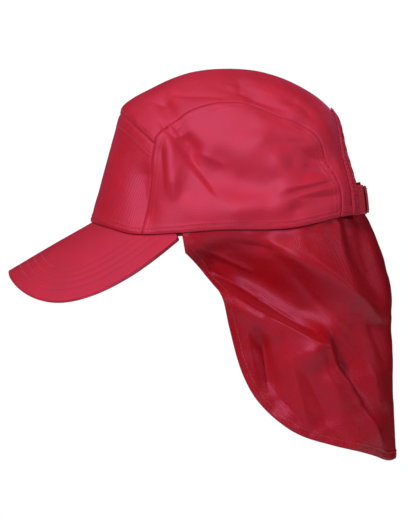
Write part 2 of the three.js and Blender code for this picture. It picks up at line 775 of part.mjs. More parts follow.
// Finishes
const cloth = (colour, roughness) =>
  new THREE.MeshStandardMaterial({ color: colour, roughness, metalness: 0 });
const redTwill = cloth(0xb4213f, 0.8);
const bandCloth = cloth(0x7a1526, 0.9);
const strapTape = cloth(0xa23a4e, 0.6);

const cap = new THREE.Group();
const pieces = [
  ["front_panel", frontPanelGeometry(), redTwill],
  ["top_panel", topPanelGeometry(), redTwill],
  ["side_panel_left", sidePanelGeometry(1), redTwill],
  ["side_panel_right", sidePanelGeometry(-1), redTwill],
  ["arch_binding", bindingGeometry(), redTwill],
  ["peak", peakGeometry(), redTwill],
  ["sweatband", sweatbandGeometry(), bandCloth],
  ["strap_under", strapGeometry(1, strapLift, 0), strapTape],
  ["strap_over", strapGeometry(-1, strapLift - strapWall - layerGap, strapTrim), strapTape],
  ["neck_flap", flapGeometry(), redTwill],
];
for (const [name, geometry, material] of pieces) {
  const mesh = new THREE.Mesh(geometry, material);
  mesh.name = name;
  cap.add(mesh);
}

export default cap;
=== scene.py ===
# %% [markdown]
# # A legionnaire cap
# The cap is sewn from red twill: a tall front panel, a strip over the top, a D-shaped panel over
# each ear, a curved peak, a bound arch with a strap at the back, and a flap that hangs over the neck.
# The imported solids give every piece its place. Here each piece is built again as a fine sheet with
# its folds, seams, stitches and weave, in the same frame: -Y is the way the peak points, +Z is up.

# %% Load the frame
import math
import bpy
import numpy as np
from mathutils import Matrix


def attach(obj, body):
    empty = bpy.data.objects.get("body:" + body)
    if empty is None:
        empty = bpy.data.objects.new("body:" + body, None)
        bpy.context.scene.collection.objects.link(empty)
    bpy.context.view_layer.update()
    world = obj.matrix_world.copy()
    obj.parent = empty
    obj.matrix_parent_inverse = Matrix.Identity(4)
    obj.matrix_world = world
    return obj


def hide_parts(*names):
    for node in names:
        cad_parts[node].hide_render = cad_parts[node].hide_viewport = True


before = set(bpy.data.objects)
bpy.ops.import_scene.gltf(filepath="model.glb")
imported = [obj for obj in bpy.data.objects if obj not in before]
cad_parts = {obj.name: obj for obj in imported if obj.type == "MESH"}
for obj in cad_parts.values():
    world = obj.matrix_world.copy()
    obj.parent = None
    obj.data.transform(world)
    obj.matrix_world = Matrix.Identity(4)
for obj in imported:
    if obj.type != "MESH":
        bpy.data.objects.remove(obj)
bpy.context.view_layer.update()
print("nodes:", sorted(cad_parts))

# %% [markdown]
# ## The sizes of the real cap
# The solids were shaped from a few sizes in millimetres, so the fine pieces use the same ones. A
# shape that follows a rule can then be made at any fineness and still land on its solid.

# %% Sizes in millimetres
crown_length, crown_width, crown_height, roundness = 208.0, 160.0, 121.0, 2.3
half_width = crown_width / 2
widest_y, widest_z = 22.0, -5.0
cloth_wall, front_wall, seam_gap, layer_gap = 1.2, 1.8, 0.12, 0.6
arch_width, arch_height, binding_width, binding_wall = 84.0, 73.0, 7.0, 0.8
strap_height, strap_wall, strap_anchor, strap_overlap, strap_drape = 22.0, 1.2, 11.0, 20.0, 20.0
peak_half_width, peak_reach, peak_slope, peak_sag, peak_wall = 80.0, 62.0, 0.606, 58.0, 3.0
peak_squareness, peak_corner_y, peak_seat, peak_tuck = 2.45, -39.0, 0.25, 1.4
band_height, band_wall, band_drop = 28.0, 1.2, 1.5
flap_wall, flap_tuck, flap_stand, flap_bulge, flap_length = 1.0, 8.0, 24.0, 9.6, 184.0
MM = 0.001
quarter = math.pi / 2
print("crown, mm:", crown_length, "long,", crown_width, "wide,", crown_height, "high")

# %% [markdown]
# ## Curves through measured points
# The outline, the rim and the flap's edge were each measured at a dozen places. A cubic between
# each two of them gives a smooth curve, and numpy works it out for thousands of points at once.

# %% Helpers for smooth curves
def curve_through(pairs):
    """A smooth curve through (place, value) pairs, which runs on straight beyond its ends."""
    at, value = np.array(sorted(pairs), float).T
    before = np.maximum(np.arange(len(at)) - 1, 0)
    after = np.minimum(np.arange(len(at)) + 1, len(at) - 1)
    slope = (value[after] - value[before]) / (at[after] - at[before])

    def curve(x):
        x = np.asarray(x, float)
        i = np.clip(np.searchsorted(at, x, side="right") - 1, 0, len(at) - 2)
        span = at[i + 1] - at[i]
        t = np.clip((x - at[i]) / span, 0, 1)
        turn = t * t * (3 - 2 * t)
        inside = value[i] * (1 - turn) + value[i + 1] * turn
        inside = inside + t * (1 - t) * span * ((1 - t) * slope[i] - t * slope[i + 1])
        low = slope[0] * np.minimum(x - at[0], 0)
        high = slope[-1] * np.maximum(x - at[-1], 0)
        return inside + low + high
    return curve


def mix(a, b, t):
    return a + (b - a) * t


def ease(start, end, value):
    t = np.clip((value - start) / (end - start), 0, 1)
    return t * t * (3 - 2 * t)


def together(*parts):
    """Points, or pairs, from separate coordinates that are first stretched to one shape."""
    return np.stack(np.broadcast_arrays(*parts), -1)


def bisect(low, high, test, like):
    """Where test turns from true to false between low and high, for a whole array at once."""
    low, high = low + 0 * like, high + 0 * like
    for _ in range(34):
        middle = (low + high) / 2
        yes = test(middle)
        low, high = np.where(yes, middle, low), np.where(yes, high, middle)
    return (low + high) / 2


def unit(vectors):
    return vectors / np.maximum(np.linalg.norm(vectors, axis=-1, keepdims=True), 1e-9)


def ripple(a, b, seed):
    """A smooth unevenness between about -1 and 1, the same on every run."""
    rng = np.random.default_rng(seed)
    total = 0
    for _ in range(7):
        heading, phase, pace = rng.uniform(0, 6.283), rng.uniform(0, 6.283), rng.uniform(0.6, 1.7)
        total = total + np.sin(pace * (a * math.cos(heading) + b * math.sin(heading)) + phase)
    return total / 4


spread = np.linspace
print("a smooth curve over a hill, at its foot and top:", curve_through([(0, 0), (1, 1), (2, 0)])([0, 1]))

# %% The crown's outline, rim and seams
# Most places are shares of the crown's length, from its middle to the back, and of its height, from
# the rim up. The seam beside the top is given by an angle in degrees and its share of the reach.
outline = np.array([(-0.5115, -0.0413), (-0.3894, 0.7149), (-0.376, 0.772), (-0.274, 0.8826),
                    (-0.173, 0.958), (-0.0183, 1), (0.134, 0.9736), (0.242, 0.905), (0.372, 0.742),
                    (0.437, 0.512), (0.49, 0.29), (0.504, 0.1), (0.504, -0.0413)])
outline_y = outline[:, 0] * crown_length - widest_y
outline_z = outline[:, 1] * crown_height - widest_z
outline_angle = np.arctan2(outline_z, -outline_y)
crossing = outline_angle[1]
crossing_reach = np.hypot(outline_y[1], outline_z[1])
round_reach = curve_through(zip(outline_angle[1:], np.hypot(outline_y, outline_z)[1:]))
rim_up = curve_through([(-0.52, 0.066), (-0.466, 0.0347), (-0.423, 0.0116), (-0.343, -0.0248),
                        (-0.189, -0.0223), (-0.029, -0.002), (0.146, 0), (0.229, 0.0099),
                        (0.316, 0.0413), (0.4125, 0.081), (0.5, 0.102)])
seam_share_at = curve_through([(41, 0.744), (56, 0.778), (71, 0.792), (87, 0.797), (99, 0.776),
                               (115, 0.79), (130, 0.787), (149, 0.785), (168, 0.738)])


def reach(angle):
    dy, dz = outline_y[1] - outline_y[0], outline_z[1] - outline_z[0]
    cross = outline_y[0] * dz - outline_z[0] * dy
    straight = cross / (-np.cos(angle) * dz - np.sin(angle) * dy)
    return np.where(angle >= crossing, round_reach(angle), straight)


def side_view(angle, share, inset=0.0):
    length = reach(angle) * share - inset
    return widest_y - length * np.cos(angle), widest_z + length * np.sin(angle)


def rim_z(y):
    return rim_up(y / crown_length) * crown_height


def seam_share(angle):
    return seam_share_at(np.degrees(angle))


def front_seam_share(angle):
    return mix(0.676, seam_share(crossing), (angle - 0.02) / (crossing - 0.02))


def out_at(share):
    return half_width * (1 - np.clip(share, 0, 1) ** roundness) ** (1 / roundness)


def share_at_out(x):
    return (1 - np.clip(np.abs(x) / half_width, 0, 1) ** roundness) ** (1 / roundness)


rim_at_arch = float(rim_z(share_at_out(arch_width / 2) * crown_length / 2))
print("rim beside the arch, mm:", round(rim_at_arch, 2))

# %% [markdown]
# ## Folds
# Soft twill never lies smooth. A fold is a stroke on the side view: two ends, a width and a height,
# where a dent is negative. The broad ones are in the solids too. What only a fine mesh can carry is
# added here: hollows, sharp creases, and drapes, which are long folds along a bent line, gentle on
# one side and steep on the other. The far side, which the photo doesn't show, gets weaker ones and
# an unevenness of its own. Sculpting by hand would look alike, but strokes in a table run again and
# can be tuned one number at a time.

# %% Fold strokes, in millimetres on the side view
def stroke_sum(strokes, y, z, sharp=False):
    """strokes: both ends (y, z, y, z), width and height. A sharp one is a cusp with tapered ends."""
    total = np.zeros_like(y)
    for y0, z0, y1, z1, width, height in strokes:
        run_y, run_z = y1 - y0, z1 - z0
        t = ((y - y0) * run_y + (z - z0) * run_z) / (run_y ** 2 + run_z ** 2)
        t = np.clip(t, 0, 1)
        away = np.hypot(y - y0 - run_y * t, z - z0 - run_z * t) / width
        shape = np.exp(-away ** 2)
        if sharp:
            taper = 0.35 + 0.65 * np.sin(np.pi * (t * 0.8 + 0.1))
            shape = np.exp(-np.sqrt(away ** 2 + 0.09) * 1.4 + 0.42) * taper
        total = total + height * shape
    return total


def drape(points, above, below, height, y, z):
    """A long fold along a bent line. Its two slopes, above and below the line, have their own widths."""
    points = np.array(points, float)
    nearest, shape = np.full(y.shape, 1e9), np.zeros(y.shape)
    run = np.concatenate([[0], np.cumsum(np.hypot(*np.diff(points, axis=0).T))])
    for k in range(len(points) - 1):
        (y0, z0), (run_y, run_z) = points[k], points[k + 1] - points[k]
        t = np.clip(((y - y0) * run_y + (z - z0) * run_z) / (run_y ** 2 + run_z ** 2), 0, 1)
        away = np.hypot(y - y0 - run_y * t, z - z0 - run_z * t)
        width = np.where(run_y * (z - z0) > run_z * (y - y0), above, below)
        along = (run[k] + t * (run[k + 1] - run[k])) / run[-1]
        taper = ease(0, 0.25, along) * (1 - ease(0.8, 1, along))
        profile = taper * ease(width * 1.15, 0, np.sqrt(away ** 2 + 1.5) - 1.2)
        shape, nearest = np.where(away < nearest, profile, shape), np.minimum(away, nearest)
    return height * shape


def scaled(rows, length, height):
    return [(y0 * length, z0 * height, y1 * length, z1 * height, width * height, rise * height)
            for y0, z0, y1, z1, width, rise in rows]


beside = stroke_sum([(0, 0, 0, 50, 8, 5)], np.full(1, 10.0), np.full(1, 25.0))[0]
print("a stroke 5 mm high and 8 wide has, 10 mm beside it, mm:", round(float(beside), 2))

# %% [markdown]
# The crown is pulled where its seams meet in front and where the strap draws it in behind, so most
# of its folds start there.

# %% The crown's folds
crown_folds = scaled([(-0.23, 0.77, -0.13, 0.5, 0.05, -0.028), (-0.2, 0.66, -0.2, 0.3, 0.045, 0.014),
                      (-0.12, 0.48, 0.02, 0.28, 0.11, -0.03), (-0.1, 0.1, 0.16, 0.13, 0.1, 0.018),
                      (-0.3, 0.32, -0.31, 0.1, 0.07, -0.022), (0.17, 0.5, 0.37, 0.42, 0.08, -0.028),
                      (0.18, 0.24, 0.37, 0.33, 0.05, 0.018), (0.24, 0.13, 0.39, 0.2, 0.045, -0.022),
                      (0.05, 0.89, 0.23, 0.79, 0.035, -0.02)], crown_length, crown_height)
crown_creases = [
    (-50, 79, -40, 68, 2.6, -2.2), (-44, 80, -33, 68, 2.2, -1.5), (-40, 69, -25, 49, 3.2, -2.2),
    (-25, 49, -10, 27, 4.0, -1.6), (-33, 64, -40, 24, 4.5, 1.6), (-50, 62, -47, 30, 3.4, -1.1),
    (-46, 66, -30, 74, 2.4, 1.1), (-27, 60, -5, 50, 4.0, 1.3), (43, 30, 83, 39, 3.2, 1.5),
    (54, 23, 84, 26, 3.4, -1.7), (54, 60, 78, 49, 5.0, -1.8), (58, 51, 80, 44, 3.0, 1.0),
    (30, 64, 62, 66, 5.0, -0.9), (-2, 20, 40, 27, 6.0, 1.1), (-64, 34, -60, 8, 4.5, -1.0),
    (-47, 101, -4, 99, 3.0, -1.2), (9, 103, 43, 91, 3.2, -1.7), (14, 108, 40, 99, 3.0, 0.9),
    (-60, 96, -38, 93, 2.4, -0.8), (50, 96, 66, 80, 3.5, -1.1),
]
crown_hollows = [(-6, 46, 30, 26, 15, -3.6), (50, 47, 84, 45, 9, -3.4), (8, 15, 78, 22, 8, 2.0),
                 (28, 66, 44, 40, 8, 1.6), (-34, 60, -28, 30, 9, -1.8), (-20, 78, 10, 74, 10, -1.2),
                 (-62, 40, -56, 0, 8, -0.8), (20, 96, 56, 78, 7, -1.6), (-30, 106, 4, 108, 8, -1.2)]
crown_drapes = [
    ([(-44, 74), (-24, 49), (-4, 24)], 13, 4.5, -2.4), ([(38, 26), (62, 33), (90, 41)], 12, 4.5, -2.6),
    ([(-40, 70), (-42, 50), (-40, 20)], 5, 9, 1.8), ([(6, 66), (34, 62), (62, 44)], 9, 18, 1.8),
    ([(-10, 104), (20, 99), (50, 84)], 5, 10, -1.6),
]
hollow_gain, crease_gain = 1.35, 1.3
far_fold, far_crease, far_sway = 0.75, 0.6, 0.9


def crown_relief(x, y, z, fine):
    relief = stroke_sum(crown_folds, y, z)
    if not fine:
        return relief
    near = ease(-14, 14, x)  # 1 on the side that the photo shows, 0 on the far side
    sharp = hollow_gain * stroke_sum(crown_hollows, y, z)
    sharp = sharp + crease_gain * stroke_sum(crown_creases, y, z, sharp=True)
    sharp = sharp + sum(drape(*fold, y, z) for fold in crown_drapes)
    small = mix(ripple(y / 11, z / 9, 27), ripple(y / 11, z / 9, 3), near)
    relief = mix(far_fold, 1, near) * relief + mix(far_crease, 1, near) * sharp
    relief = relief + mix(far_sway, 0, near) * ripple(y / 24, z / 19, 33)
    return relief + 0.34 * small + 0.12 * ripple(y / 4.5, z / 3.8, 8)


print("the crown has", len(crown_folds), "broad folds,", len(crown_creases), "creases,",
      len(crown_hollows), "hollows and", len(crown_drapes), "drapes")

# %% [markdown]
# ## The crown as one surface
# All four panels lie on one rounded body. It is given as a field that is 1 on the cap's outer face,
# like a sphere's equation with a measured outline in place of the radius. The field's slope is the
# way out of the cloth, which every layer needs: the binding lies outside it, the flap inside it.

# %% The crown's surface
def outline_share(y, z):
    """How far out a point is on the side view: 0 in the middle of the crown, 1 on its outline."""
    dy, dz = y - widest_y, z - widest_z
    return np.hypot(dy, dz) / reach(np.arctan2(np.maximum(dz, 0), -dy))


def field(x, y, z):
    return outline_share(y, z) ** roundness + (np.abs(x) / half_width) ** roundness


def outwards(p):
    x, y, z = np.moveaxis(p, -1, 0)
    step = 0.02
    return unit(together(field(x + step, y, z) - field(x - step, y, z),
                         field(x, y + step, z) - field(x, y - step, z),
                         field(x, y, z + step) - field(x, y, z - step)))


def lifted(p, inward, fine=False):
    """Points on the smooth crown, moved by its folds and then inward. The arch's edge stays smooth."""
    x, y, z = np.moveaxis(p, -1, 0)
    away = (np.hypot(x / (arch_width / 2), (z - rim_at_arch) / arch_height) - 1) * arch_width / 2
    away = np.where(y < 0, crown_length, away)
    free = ease(1.5 * binding_width, 4 * binding_width, away)
    relief = free * crown_relief(x, y, z, fine) - inward
    return p + outwards(p) * relief[..., None]


def side_point(y, z, side, inward=0.0, fine=False):
    return lifted(together(side * out_at(outline_share(y, z)), y, z), inward, fine)


def angle_point(angle, share, side, inward=0.0, fine=False):
    return lifted(together(side * out_at(share), *side_view(angle, share)), inward, fine)


def ring(turn, height, inward=0.0, fine=False):
    turn, height = np.broadcast_arrays(np.asarray(turn, float), np.asarray(height, float))
    sx, sy = np.sin(turn), -np.cos(turn)
    radius = bisect(0, crown_length, lambda r: field(sx * r, sy * r, height) < 1, turn)
    return lifted(together(sx * radius, sy * radius, height), inward, fine)


def turn_along(y):
    y = np.asarray(y, float)
    return bisect(0, math.pi, lambda turn: ring(turn, rim_z(y))[..., 1] < y, y)


def ring_at_rim(turn, above=0.0, inward=0.0, fine=False):
    rough = ring(turn, 0.0)
    return ring(turn, rim_z(rough[..., 1]) + above, inward, fine)


def back_angle(x, z):
    share = share_at_out(x)
    return bisect(quarter, math.pi, lambda angle: side_view(angle, share)[1] > z, x + 0 * z)


def back_point(x, z, inward, fine=False):
    x, z = np.broadcast_arrays(np.asarray(x, float), np.asarray(z, float))
    side = np.where(x < 0, -1.0, 1.0)
    return angle_point(back_angle(x, z), share_at_out(x), side, inward, fine)


def turn_at(share):
    return np.arcsin(np.clip(share, 0, 1) ** (roundness / 2))


def share_between(away, seam_turn):
    """Shares of the reach at even steps over the crown, from its middle (0) to a seam (1)."""
    turn = quarter - np.abs(away) * (quarter - seam_turn)
    return np.sin(turn) ** (2 / roundness)


def side_of(across, like):
    return np.where(across < 0, -1.0, 1.0)[None] + 0 * like


print("top of the crown, mm:", angle_point(np.full(1, quarter), 1.0, 1.0)[0].round(1).tolist())

# %% [markdown]
# ## From grids to closed sheets
# A sheet of cloth is two grids of points, an outer and an inner face, joined all round by a narrow
# strip. The Solidify modifier could make the inner face, but here it also has to follow its own
# layer inside the cap, so both faces are worked out.

# %% Make a closed sheet from two faces
def add_object(name, data):
    made = bpy.data.objects.new(name, data)
    bpy.context.scene.collection.objects.link(made)
    return made


def finish_mesh(name, vertices, faces, material, uv):
    mesh = bpy.data.meshes.new(name)
    mesh.from_pydata((vertices * MM).tolist(), [], faces.tolist())
    mesh.validate()
    volume = closed_volume(vertices, faces)
    if volume < 0:
        mesh.flip_normals()
    mesh.polygons.foreach_set("use_smooth", np.ones(len(mesh.polygons), bool))
    layer = mesh.uv_layers.new(name="cloth")
    loops = np.empty(len(mesh.loops), np.int32)
    mesh.loops.foreach_get("vertex_index", loops)
    layer.data.foreach_set("uv", (uv[loops] * MM).astype(np.float32).ravel())
    mesh.materials.append(material)
    piece = add_object(name, mesh)
    print(f"{name}: {len(faces)} faces, {abs(volume) / 1000:.1f} cm3")
    return piece


def closed_volume(vertices, faces):
    a, b, c, d = (vertices[faces[:, k]] for k in range(4))
    return float((np.einsum("ij,ij->i", a, np.cross(b, c)) +
                  np.einsum("ij,ij->i", a, np.cross(c, d))).sum() / 6)


def grid_faces(rows, columns, start=0):
    index = np.arange(rows * columns).reshape(rows, columns) + start
    return together(index[:-1, :-1], index[:-1, 1:], index[1:, 1:], index[1:, :-1]).reshape(-1, 4)


def sheet_piece(name, outer, inner, material, uv):
    rows, columns = outer.shape[:2]
    count = rows * columns
    index = np.arange(count).reshape(rows, columns)
    loop = np.concatenate([index[0, :-1], index[:-1, -1], index[-1, :0:-1], index[:0:-1, 0]])
    following = np.roll(loop, -1)
    rim = together(following, loop, loop + count, following + count)
    faces = np.concatenate([grid_faces(rows, columns),
                            grid_faces(rows, columns, count)[:, ::-1], rim])
    vertices = np.concatenate([outer.reshape(-1, 3), inner.reshape(-1, 3)])
    flat = uv.reshape(-1, 2)
    return finish_mesh(name, vertices, faces, material, np.concatenate([flat, flat]))


def place_piece(piece, node):
    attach(piece, "root")
    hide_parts(node)


print("a grid of 3 by 4 points has", len(grid_faces(3, 4)), "faces")

# %% [markdown]
# The weave needs lengths along the cloth, and a seam needs to know how far every point lies from
# it. Both are measured on the points themselves, block by block to save memory.

# %% Measure on a sheet
def lengths_along(points, axis):
    step = np.linalg.norm(np.diff(points, axis=axis), axis=-1)
    start = np.zeros_like(np.take(step, [0], axis=axis))
    return np.concatenate([start, np.cumsum(step, axis=axis)], axis=axis)


def cloth_lengths(outer):
    """Lengths along the cloth itself, so that the weave isn't stretched where a panel curves."""
    half_strip = 60
    return together(lengths_along(outer, 1) - half_strip, lengths_along(outer, 0))


def nearest_on(path, points):
    """Distance from each point to a path, and how far along the path that is."""
    run = lengths_along(path, 0)
    flat = points.reshape(-1, 3)
    away, along = np.empty(len(flat)), np.empty(len(flat))
    block_size = 4000
    for first in range(0, len(flat), block_size):
        part = slice(first, first + block_size)
        block = flat[part]
        squares = (block ** 2).sum(1)[:, None] + (path ** 2).sum(1)[None] - 2 * block @ path.T
        best = squares.argmin(1)
        away[part] = np.sqrt(np.maximum(squares[np.arange(len(block)), best], 0))
        along[part] = run[best]
    return away.reshape(points.shape[:-1]), along.reshape(points.shape[:-1])


corner_path = np.array([(0.0, 0.0, 0.0), (3.0, 0.0, 0.0), (3.0, 4.0, 0.0)])
print("lengths along a path with one corner:", lengths_along(corner_path, 0).tolist())

# %% [markdown]
# ## Seams
# A sewn seam is easy to read on a real cap: the edge of each panel rolls in, the folded allowance
# behind it lifts the cloth for a few millimetres, and the row of topstitching pulls it down again
# and gathers it into small puckers. One profile across the seam and one ripple along it give all.

# %% The shape of cloth beside a seam
seam_row, rim_row = 5.0, 4.0  # how far the topstitching lies from a seam and from the rim
edge_roll, allowance_lift, stitch_dip, pucker_lift = 0.34, 0.45, 0.42, 0.30
roll_width, dip_width, pucker_width = 0.75, 0.75, 3.2
unstitched = (30.0, 0.0, 1)  # an edge that only rolls in: its stitching is far away and has no strength


def seam_height(away, along, stitched, strength, seed):
    """Height of the cloth beside a seam whose topstitching lies at the distance stitched."""
    roll = -edge_roll * np.exp(-(away / roll_width) ** 2)
    allowance = allowance_lift * ease(0.8, 2.2, away)
    allowance = allowance * (1 - ease(stitched + 0.8, stitched + 3.0, away))
    dimple = -stitch_dip * np.exp(-((away - stitched) / dip_width) ** 2)
    wander = along / 3.4 + 1.7 * np.sin(along / 23.0 + seed) + seed
    pucker = np.sin(wander) * (0.6 + 0.4 * np.sin(along / 14.0 + 2 * seed))
    pucker = pucker_lift * strength * pucker * np.exp(-((away - stitched) / pucker_width) ** 2)
    return roll + strength * (allowance + dimple) + pucker


def sewn_panel(name, outer, wall, edges, material, uv):
    """edges: (path, distance of its topstitching, strength, seed) for each side of the panel."""
    normal = outwards(outer)
    lift = np.zeros(outer.shape[:2])
    for path, stitched, strength, seed in edges:
        away, along = nearest_on(path, outer)
        lift = lift + seam_height(away, along, stitched, strength, seed)
    face = outer + normal * lift[..., None]
    return sheet_piece(name, face, outer - normal * wall, material, uv)


print("height at a seam's edge and at its row of stitches, mm:",
      [round(float(seam_height(away, 0.0, seam_row, 1.0, 1)), 2) for away in (0.0, seam_row)])

# %% [markdown]
# ## Nodes as expressions
# A material is a graph, but its sums read best as sums. One small class stands for a socket, and an
# operator on two of them adds a Math node. Any other node comes from one method that takes its
# type, its settings and its inputs.

# %% A socket that can be added and multiplied
class Socket:
    def __init__(self, graph, socket):
        self.graph, self.socket = graph, socket

    def math(self, operation, *values):
        return self.graph.node("ShaderNodeMath", {"operation": operation}, *values)

    def __add__(self, other):
        return self.math("ADD", self, other)

    def __mul__(self, other):
        return self.math("MULTIPLY", self, other)

    def __sub__(self, other):
        return self.math("SUBTRACT", self, other)

    def wave(self):
        return self.math("SINE", self)


class Graph:
    def __init__(self, tree):
        self.tree = tree

    def node(self, kind, settings=None, *values, output=0, **named):
        made = self.tree.nodes.new(kind)
        for key, value in (settings or {}).items():
            if key == "stops":
                ramp = made.color_ramp
                while len(ramp.elements) < len(value):
                    ramp.elements.new(0.5)
                for stop, (place, colour) in zip(ramp.elements, value):
                    stop.position, stop.color = place, (*colour, 1)
            else:
                setattr(made, key, value)
        slots = list(enumerate(values)) + [(key.replace("_", " "), v) for key, v in named.items()]
        for key, value in slots:
            if isinstance(value, Socket):
                self.tree.links.new(value.socket, made.inputs[key])
            else:
                made.inputs[key].default_value = value
        return Socket(self, made.outputs[output]) if len(made.outputs) else None


print("sockets ready")

# %% [markdown]
# ## The twill
# The cloth is a cotton and polyester twill with a satin face: deep red where it looks away from the
# light and pinkish where it faces it. A pink tint on the sheen and on the gloss does that without
# painting any light. The weave is a fine diagonal rib in the sheet's own coordinates, so that it
# turns with each panel, and a slow noise varies the dye and the roughness as handling does. The
# crown is the mattest. The flap is a darker copy of the same twill: painted shade, for the shade it
# hangs in below the rim.

# %% Material helpers
def start_material(name):
    material = bpy.data.materials.new(name)
    material.use_nodes = True
    material.node_tree.nodes.clear()
    return material, Graph(material.node_tree)


def close_material(graph, colour, roughness, normal, **fixed):
    shader = graph.node("ShaderNodeBsdfPrincipled", None, Base_Color=colour, Roughness=roughness,
                        Normal=normal, **fixed)
    graph.node("ShaderNodeOutputMaterial", None, Surface=shader)


def cloth_axes(g):
    """The place on the sheet, and its two coordinates in metres along and across the cloth."""
    place = g.node("ShaderNodeUVMap", {"uv_map": "cloth"})
    split = g.node("ShaderNodeSeparateXYZ", None, place)
    return place, split, Socket(g, split.socket.node.outputs[1])


def noise(g, place, scale, detail, roughness=0.5):
    return g.node("ShaderNodeTexNoise", None, Vector=place, Scale=scale, Detail=detail,
                  Roughness=roughness)


def stripes(value, pitch):
    return (value * (2 * math.pi / pitch)).wave() * 0.5 + 0.5


print("material helpers ready")

# %% Twill
sheen_pink, gloss_pink = (1.0, 0.22, 0.46), (1.0, 0.38, 0.78)
rib_pitch, weft_pitch = 0.0015, 0.0012


def twill(name, deep, bright, sheen, rough, gloss, rib_depth=0.34):
    material, g = start_material(name)
    place, u, v = cloth_axes(g)
    slow = noise(g, place, 38.0, 4.0, 0.6)
    thread = noise(g, place, 900.0, 2.0)
    crumple = noise(g, place, 95.0, 3.0, 0.55)
    ribs = stripes(u + v * 0.75, rib_pitch)
    weft = stripes(v - u * 0.3, weft_pitch)
    weave = ribs * 0.7 + ribs * weft * 0.3
    shade = slow * 0.4 + thread * 0.25 + weave * 0.35
    colour = g.node("ShaderNodeValToRGB", {"stops": [(0.3, deep), (0.72, bright)]}, shade)
    height = crumple + (weave + thread * 0.5) * rib_depth
    normal = g.node("ShaderNodeBump", None, Strength=0.5, Distance=0.0011, Height=height)
    roughness = slow * 0.14 + thread * 0.06 + (rough - 0.1)
    close_material(g, colour, roughness, normal, Sheen_Weight=sheen, Sheen_Roughness=0.38,
                   Sheen_Tint=(*sheen_pink, 1), Specular_IOR_Level=gloss,
                   Specular_Tint=(*gloss_pink, 1))
    return material


crown_twill = twill("crown_twill", (0.31, 0.0015, 0.005), (0.51, 0.003, 0.010), sheen=0.20,
                    rough=0.62, gloss=1.0, rib_depth=0.24)
peak_twill = twill("peak_twill", (0.32, 0.002, 0.007), (0.47, 0.004, 0.012), sheen=0.24,
                   rough=0.66, gloss=0.9)
# The flap's copy has a darker base colour: painted shade for the flap hanging in shade below the rim.
flap_twill_painted_shade = twill("flap_twill_painted_shade", (0.24, 0.001, 0.002), (0.40, 0.0012, 0.003), sheen=0.06,
                   rough=0.43, gloss=0.55)
print("twills:", [material.name for material in (crown_twill, peak_twill, flap_twill_painted_shade)])

# %% [markdown]
# The strap is a ribbed tape, and the sweatband is taken as a matt cloth of the same kind, in a dark
# red that is partly painted shade from inside the rim. Their ribs run across and along, so two rows
# of stripes and some fuzz make them. The thread is a plain red.

# %% Tape and thread
def tape(name, deep, bright, sheen):
    material, g = start_material(name)
    place, u, v = cloth_axes(g)
    fuzz = noise(g, place, 700.0, 3.0)
    weave = stripes(u, 0.0011) * 0.6 + stripes(v, 0.0016) * 0.3 + fuzz * 0.3
    colour = g.node("ShaderNodeValToRGB", {"stops": [(0.2, deep), (0.9, bright)]}, weave)
    normal = g.node("ShaderNodeBump", None, Strength=0.35, Distance=0.0005, Height=weave)
    close_material(g, colour, fuzz * 0.1 + 0.5, normal, Sheen_Weight=sheen, Sheen_Roughness=0.4,
                   Sheen_Tint=(1, 0.5, 0.58, 1))
    return material


def thread_finish(name, colour):
    material, g = start_material(name)
    place = g.node("ShaderNodeTexCoord", None, output="Object")
    fuzz = noise(g, place, 2500.0, 1.0)
    dark = tuple(value * 0.7 for value in colour)
    shade = g.node("ShaderNodeValToRGB", {"stops": [(0.3, dark), (0.7, colour)]}, fuzz)
    normal = g.node("ShaderNodeBump", None, Strength=0.3, Distance=0.0002, Height=fuzz)
    close_material(g, shade, fuzz * 0.1 + 0.45, normal, Sheen_Weight=0.3)
    return material


# The sweatband's dark red is partly painted shade: it stands for the shade inside the rim.
band_cloth = tape("band_cloth", (0.16, 0.006, 0.018), (0.26, 0.012, 0.03), 0.5)
strap_tape = tape("strap_tape", (0.50, 0.007, 0.022), (0.74, 0.014, 0.04), 0.25)
red_thread = thread_finish("red_thread", (0.42, 0.006, 0.02))
print("tapes and thread:", [material.name for material in (band_cloth, strap_tape, red_thread)])

# %% [markdown]
# ## The side panels
# Each is a D: flat along the rim, steep in front and round behind. Its grid is blended between its
# four edges in the side view and then pushed out to the crown's surface, so the rows of the grid
# follow the seams. That keeps every seam clean, which a round grid cut by a curve would not.

# %% Side panels
def side_edges(inset, rim_lift=0.0):
    def meets(share_at, low, high, rising):
        def test(angle):
            y, z = side_view(angle, share_at(angle), inset)
            return (z < rim_z(y) + rim_lift) == rising
        return bisect(low, high, test, np.zeros(1))[0]
    return meets(front_seam_share, 0, crossing, True), meets(seam_share, quarter, math.pi, False)


def side_patch(columns, rows):
    inset = seam_gap / 2
    front_foot, back_foot = side_edges(inset)
    shoulder = math.radians(137)  # the corner of the grid, where the top edge becomes the back edge
    angle = mix(front_foot, crossing, spread(0, 1, rows))
    front = together(*side_view(angle, front_seam_share(angle), inset))
    angle = mix(back_foot, shoulder, spread(0, 1, rows))
    back = together(*side_view(angle, seam_share(angle), inset))
    angle = mix(crossing, shoulder, spread(0, 1, columns))
    top = together(*side_view(angle, seam_share(angle), inset))
    rim_y = mix(front[0, 0], back[0, 0], spread(0, 1, columns))
    rim = together(rim_y, rim_z(rim_y))
    u, v = spread(0, 1, columns)[None, :, None], spread(0, 1, rows)[:, None, None]
    corners = mix(mix(rim[0], rim[-1], u), mix(top[0], top[-1], u), v)
    return mix(rim[None], top[None], v) + mix(front[:, None], back[:, None], u) - corners


stitch_lines = []  # every row of topstitching: its points, the way out of the cloth, its group


def stitch_along(points, group):
    stitch_lines.append((points, outwards(points), group))


flat = side_patch(columns=190, rows=110)
for side, word in ((1.0, "left"), (-1.0, "right")):
    outer = side_point(flat[..., 0], flat[..., 1], side, fine=True)
    edges = [(outer[-1], seam_row, 1.0, 1 + side), (outer[:, 0], 4.0, 0.9, 3 + side),
             (outer[:, -1], seam_row, 0.9, 5 + side), (outer[0], rim_row, 0.8, 7 + side)]
    piece = sewn_panel("side_panel_" + word + "_twill", outer, cloth_wall, edges, crown_twill, flat)
    place_piece(piece, "side_panel_" + word)

